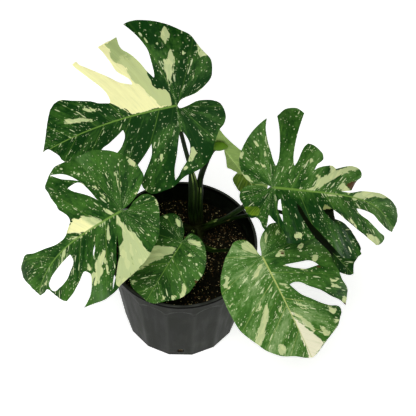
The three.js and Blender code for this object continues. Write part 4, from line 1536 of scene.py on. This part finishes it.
def drain_cutter():
    bm = bmesh.new()
    for number in range(DRAIN["count"]):
        angle = drain_angle(number)
        out = Vector((math.cos(angle), math.sin(angle), 0))
        place = out * (POT["base"] * MM) + Vector((0, 0, DRAIN["height"] * MM))
        matrix = Matrix.Translation(place) @ out.to_track_quat("Z", "Y").to_matrix().to_4x4()
        radius = DRAIN["radius"] * MM
        bmesh.ops.create_cone(bm, cap_ends=True, segments=DRAIN_SIDES, radius1=radius,
                              radius2=radius, depth=CUTTER_LENGTH, matrix=matrix)
    return new_object("drain", mesh_from(bm, "drain"), [])


def drill(pot):
    cutter = drain_cutter()
    holes = pot.modifiers.new("drain", "BOOLEAN")
    holes.operation = "DIFFERENCE"
    holes.solver = "EXACT"
    holes.object = cutter
    graph = bpy.context.evaluated_depsgraph_get()
    drilled = bpy.data.meshes.new_from_object(pot.evaluated_get(graph))
    pot.modifiers.clear()
    pot.data = drilled
    bpy.data.objects.remove(cutter)


print("drain holes at", [round(math.degrees(drain_angle(k))) for k in range(DRAIN["count"])], "degrees")

# %% Make the pot
STEPS_PER_PANEL = 16
FLAT_BASE = 80
SHARP_CORNER = 0.9
LIP_BAND = 206
RIDGE_WIDTH = 5
BESIDE_SHARE = 0.4


def highlight_edge(corner):
    """How near a corner is to the raised edge of an arch or of a panel, from 0 to 1, for the highlight
    painted there.
    """
    x, y, z = corner.co / MM
    angle = math.atan2(y, x)
    if math.hypot(x, y) < (cone_radius(z) - POT["wall"] / 2) * panel_share(z, angle):
        return 0.0
    turned = from_middle(angle)
    t = over_arch(z, turned)
    beside = 1 - min(1, abs(abs(turned) - math.pi / PANELS) * POT["base"] / RIDGE_WIDTH)
    return max(4 * t * (1 - t), BESIDE_SHARE * beside * (1 - t))


def make_pot(materials):
    bm = spun(pot_profile(), PANELS * STEPS_PER_PANEL)
    bmesh.ops.rotate(bm, verts=bm.verts[:], matrix=Matrix.Rotation(PANEL_TURN, 3, "Z"))
    for corner in bm.verts:
        x, y, z = corner.co / MM
        if math.hypot(x, y) > FLAT_BASE and z < POT["height"] - POT["lip"] + 0.3:
            press_in(corner)
    for edge in bm.edges:
        edge.smooth = edge.calc_face_angle(0) < SHARP_CORNER
    for face in bm.faces:
        z = face.calc_center_median().z / MM
        # The lip and the foot ring take the near-black finish: a painted shade line at the rim and a
        # painted contact shadow at the foot.
        face.material_index = int(z > LIP_BAND or z < FOOT_RING)
    pot = new_object("nursery_pot", mesh_from(bm, "nursery_pot"), materials)
    drill(pot)
    highlight = np.array([highlight_edge(corner) for corner in pot.data.vertices])
    store(pot.data, "highlight", (highlight, highlight * 0, highlight * 0))
    return pot


# %% [markdown]
# Reground black plastic is not quite black. It is a dull charcoal with flow marks from
# the mould, with a painted highlight along the raised edges, and dust and dried splashes near
# the foot. The lip and the foot ring are painted blacker, a painted shade line at the rim and a
# painted contact shadow at the foot, and the lip's top has a thin painted highlight in grey.

# %% Finish of the pot
CHARCOAL = rgb(12, 16, 9)
DUSTY = rgb(54, 58, 48)
SHADOW_BLACK = rgb(4, 5, 3)
HIGHLIGHT_GREY = rgb(74, 76, 72)


def pot_finish():
    finish = Finish("pot_plastic")
    place = finish.object_place()
    x, y, z = finish.split(place)
    marks = finish.noise(finish.vector(x, y, z * 0.15), 0.012, 3, 0.6)
    dust = finish.noise(place, 0.05, 4, 0.6).between(0.45, 0.8) * z.between(0.0, 0.07, 0.6, 0.25)
    # A highlight is painted along the raised edges of the arches and panels.
    painted_highlight = finish.attribute("highlight")[0] * marks.between(0.3, 0.6, 0.25, 0.6)
    color = finish.mix(dust, CHARCOAL, DUSTY)
    color = finish.mix(marks.between(0.4, 0.75, 0, 0.22), color, DUSTY)
    color = finish.mix(painted_highlight, color, HIGHLIGHT_GREY)
    finish.bump(marks * 0.8 + finish.noise(place, 0.0012), 0.0003, 0.35)
    return finish.surface(color, marks.between(0.3, 0.75, 0.46, 0.6), Specular_IOR_Level=0.08)


def lip_plastic():
    finish = Finish("pot_lip")
    place = finish.object_place()
    z = finish.split(place)[2]
    marks = finish.noise(place, 0.02, 3)
    # A thin highlight is painted round the top of the lip.
    painted_highlight = z.between(0.2142, 0.2148) * marks.between(0.3, 0.7, 0.4, 0.8)
    # The near-black is painted shade: a shade line at the rim and a contact shadow at the foot ring.
    color = finish.mix(painted_highlight, SHADOW_BLACK, HIGHLIGHT_GREY)
    return finish.surface(color, marks.between(0.3, 0.7, 0.35, 0.5), Specular_IOR_Level=0.03)


pot = make_pot([pot_finish(), lip_plastic()])
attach(pot, "root")
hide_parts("pot")
print("pot", len(pot.data.polygons), "faces")

# %% [markdown]
# The mix is dark peat with bits of bark and grit. The body of it fills the pot and is spun
# from a profile, like the pot, and its top is roughened by noise.

# %% The potting mix
SOIL_LEVEL = 175
SOIL_FOOT = 3.4
SOIL_RINGS = 64
SOIL_STEPS = 180
SOIL_GAP = 0.4
HEAP_HEIGHT = 3.0
HEAP_SPREAD = 30


def soil_height(x, y):
    """The top of the mix at a place, in millimetres."""
    wide = noise.fractal(Vector((x / 40, y / 40, 3)), 1.0, 2.0, 3)
    lumps = noise.fractal(Vector((x / 7, y / 7, 8)), 0.9, 2.1, 4)
    from_crown = math.hypot(x - CROWN["x"], y - CROWN["y"])
    heap = HEAP_HEIGHT * math.exp(-((from_crown / HEAP_SPREAD) ** 2))
    return SOIL_LEVEL + 1.6 * wide + 1.5 * lumps + heap


def soil_radius(z):
    return cone_radius(z) - POT["wall"] - SOIL_GAP


def make_soil(material):
    edge = soil_radius(SOIL_LEVEL)
    side = [(soil_radius(4), SOIL_FOOT), (soil_radius(60), 60), (soil_radius(150), 150)]
    top = [(edge * (1 - k / SOIL_RINGS), SOIL_LEVEL) for k in range(SOIL_RINGS + 1)]
    bm = spun([(0, SOIL_FOOT), *side, *top], SOIL_STEPS)
    for corner in bm.verts:
        x, y, z = corner.co / MM
        if z > SOIL_LEVEL - 1 and math.hypot(x, y) < edge - 1:
            corner.co.z = soil_height(x, y) * MM
        elif z > 20:
            press_in(corner)
    return new_object("potting_mix", mesh_from(bm, "potting_mix"), [material])


# %% [markdown]
# A bump alone can't make grains that cast a shadow. So loose crumbs lie on the top, each a
# small rock with its own turn and size. They are all one mesh, because thousands of
# objects would be slow, and each crumb carries a number that picks its colour.

# %% Places for the crumbs
CRUMBS = dict(dark=1200, bark=900, grit=900)
CRUMB_REACH = 114
DRAIN_CRUMBS = 48
DRAIN_DEPTH = 1.4
DRAIN_MARGIN = 1.8


def on_top(chance):
    """An even spread over the round top of the mix."""
    reach = CRUMB_REACH * math.sqrt(chance.random())
    angle = 2 * math.pi * chance.random()
    x, y = reach * math.cos(angle), reach * math.sin(angle)
    return Vector((x, y, soil_height(x, y)))


def in_drain(chance, number):
    """A place in the mix behind one of the pot's drain holes."""
    angle = drain_angle(number % DRAIN["count"])
    turn = 2 * math.pi * chance.random()
    spread = (DRAIN["radius"] - DRAIN_MARGIN) * math.sqrt(chance.random())
    beside, z = spread * math.cos(turn), DRAIN["height"] + spread * math.sin(turn)
    reach = cone_radius(z) * math.cos(math.pi / PANELS) - DRAIN_DEPTH
    return Vector((reach * math.cos(angle) - beside * math.sin(angle),
                   reach * math.sin(angle) + beside * math.cos(angle), z))


print(sum(CRUMBS.values()), "crumbs on top,", DRAIN_CRUMBS * len(CRUMBS), "in the drain holes")

# %% Crumbs on the mix
CRUMB_SIZES = dict(dark=(0.7, 2.2), bark=(0.7, 2.0), grit=(0.5, 1.15))
CRUMB_SHADES = dict(dark=0.1, bark=0.5, grit=0.9)
CRUMB_STRETCH = ((0.6, 1.6), (0.6, 1), (0.4, 0.8))
SHADE_SPREAD = 0.09


def crumb_matrix(chance, kind, number):
    """Where a crumb lies, how it is turned and how large it is."""
    loose = number < CRUMBS[kind]
    place = on_top(chance) if loose else in_drain(chance, number)
    size = chance.uniform(*CRUMB_SIZES[kind])
    stretch = [chance.uniform(low, high) for low, high in CRUMB_STRETCH]
    spin = Matrix.Rotation(6.3 * chance.random(), 4, "Z")
    tilt = Matrix.Rotation(chance.random() - 0.5, 4, "X")
    if loose:
        place.z += size * 0.2
    scale = Matrix.Diagonal((*(Vector(stretch) * size * MM), 1))
    return Matrix.Translation(place * MM) @ (spin @ tilt) @ scale


def plain_rock():
    bm = bmesh.new()
    bmesh.ops.create_icosphere(bm, subdivisions=1, radius=1)
    corners = [corner.co.copy() for corner in bm.verts]
    faces = [[corner.index for corner in face.verts] for face in bm.faces]
    bm.free()
    return corners, faces


def make_crumbs(material):
    chance = random.Random(7)
    rock, rock_faces = plain_rock()
    corners, faces, shades = [], [], []
    for kind, count in CRUMBS.items():
        for number in range(count + DRAIN_CRUMBS):
            matrix = crumb_matrix(chance, kind, number)
            shade = CRUMB_SHADES[kind] + chance.uniform(-SHADE_SPREAD, SHADE_SPREAD)
            faces += [[len(corners) + corner for corner in face] for face in rock_faces]
            corners += [matrix @ corner for corner in rock]
            shades += [shade] * len(rock)
    mesh = bpy.data.meshes.new("crumbs")
    mesh.from_pydata(corners, [], faces)
    mesh.attributes.new("shade", "FLOAT", "POINT").data.foreach_set("value", shades)
    return new_object("crumbs", mesh, [material])


# %% [markdown]
# Damp peat is nearly black and has no gloss. Two noises of different size colour it, and
# the same two roughen it. A crumb has one colour, by its number: peat, bark or pale grit.

# %% Finish of the mix and its crumbs
PEAT = rgb(12, 11, 8)
PEAT_LIGHT = rgb(28, 26, 18)
BARK = rgb(88, 66, 42)
GRIT = rgb(204, 184, 138)


def soil_finish():
    finish = Finish("potting_mix")
    place = finish.object_place()
    lumps = finish.noise(place, 0.004, 5, 0.65)
    fine = finish.noise(place, 0.0012, 3, 0.6)
    color = finish.mix(lumps.between(0.35, 0.75), PEAT, PEAT_LIGHT)
    color = finish.mix(fine.between(0.66, 0.72, 0, 0.6), color, BARK)
    finish.bump(lumps + fine, 0.0015, 0.9)
    return finish.surface(color, 0.95, Specular_IOR_Level=0.2)


def crumb_finish():
    finish = Finish("crumbs")
    shade = finish.add("Attribute", "Fac", {}, attribute_name="shade")
    fine = finish.noise(finish.object_place(), 0.0008)
    color = finish.mix(shade.between(0.2, 0.45), PEAT_LIGHT, BARK)
    color = finish.mix(shade.between(0.6, 0.85), color, GRIT)
    color = finish.mix(fine.between(0.3, 0.8, 0, 0.5), color, PEAT)
    finish.bump(fine, 0.0004, 0.6)
    return finish.surface(color, 0.9, Specular_IOR_Level=0.2)


soil = make_soil(soil_finish())
crumbs = make_crumbs(crumb_finish())
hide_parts("soil")
for piece in (soil, crumbs):
    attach(piece, "root")
print("soil", len(soil.data.polygons), "faces, crumbs", len(crumbs.data.polygons), "faces")

# %% [markdown]
# The plant stands on a plain pale floor in soft white light. The floor glows a little, as
# a light table does, so that it stays even. The glossy blades would mirror the main light
# as a haze, so only the low light on the right and the dim room are seen in them.

# %% Floor
FLOOR_RADIUS = 6.0
FLOOR_SIDES = 96
FLOOR_WHITE = rgb(244, 244, 243)
FLOOR_SHADE = rgb(240, 240, 238)


def make_floor():
    finish = Finish("floor")
    tint = finish.noise(finish.object_place(), 0.6)
    color = finish.mix(tint.between(0.3, 0.7), FLOOR_WHITE, FLOOR_SHADE)
    bm = bmesh.new()
    bmesh.ops.create_circle(bm, cap_ends=True, segments=FLOOR_SIDES, radius=FLOOR_RADIUS)
    looks = finish.surface(color, 0.9, Emission_Strength=0.7)
    return new_object("floor", mesh_from(bm, "floor"), [looks])


make_floor()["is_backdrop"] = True

# %% Lights and room
def soft_light(name, place, aim, width, power, mirrored=False):
    lamp = bpy.data.lights.new(name, "AREA")
    lamp.shape = "DISK"
    lamp.size = width
    lamp.energy = power
    light = bpy.data.objects.new(name, lamp)
    turn = (Vector(place) - Vector(aim)).to_track_quat("Z", "Y").to_matrix().to_4x4()
    light.matrix_world = Matrix.Translation(place) @ turn
    light.visible_glossy = mirrored
    bpy.context.collection.objects.link(light)


def make_room():
    """A dim room that is lighter near the horizon than overhead."""
    room = bpy.data.worlds.new("room")
    room.use_nodes = True
    tree = room.node_tree
    place = tree.nodes.new("ShaderNodeTexCoord")
    parts = tree.nodes.new("ShaderNodeSeparateXYZ")
    shade = tree.nodes.new("ShaderNodeMapRange")
    tree.links.new(place.outputs["Generated"], parts.inputs[0])
    tree.links.new(parts.outputs[2], shade.inputs["Value"])
    for socket, value in {"From Min": 0.1, "From Max": 0.7, "To Min": 0.7, "To Max": 0.07}.items():
        shade.inputs[socket].default_value = value
    tree.links.new(shade.outputs[0], tree.nodes["Background"].inputs["Strength"])
    bpy.context.scene.world = room


soft_light("overhead", (-0.3, -0.7, 2.4), (0.05, 0, 0.3), 1.6, 37)
soft_light("front", (0.3, -2.4, 0.9), (0.05, 0, 0.3), 1.4, 16)
soft_light("left", (-2.2, 0, 0.5), (0, 0, 0.15), 0.8, 9)
soft_light("right", (2.3, -0.3, 0.5), (0, 0, 0.15), 0.8, 6, mirrored=True)
make_room()
bpy.context.scene.view_settings.view_transform = "Standard"
print("lights on")

# %% [markdown]
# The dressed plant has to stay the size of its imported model, so both boxes are kept.

# %% Sizes
bpy.context.view_layer.update()
boxes = [[list(corner) for corner in box] for box in (cad_box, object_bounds())]
for name, box in zip(("packed", "dressed"), boxes):
    print(name, [[round(value, 4) for value in corner] for corner in box])
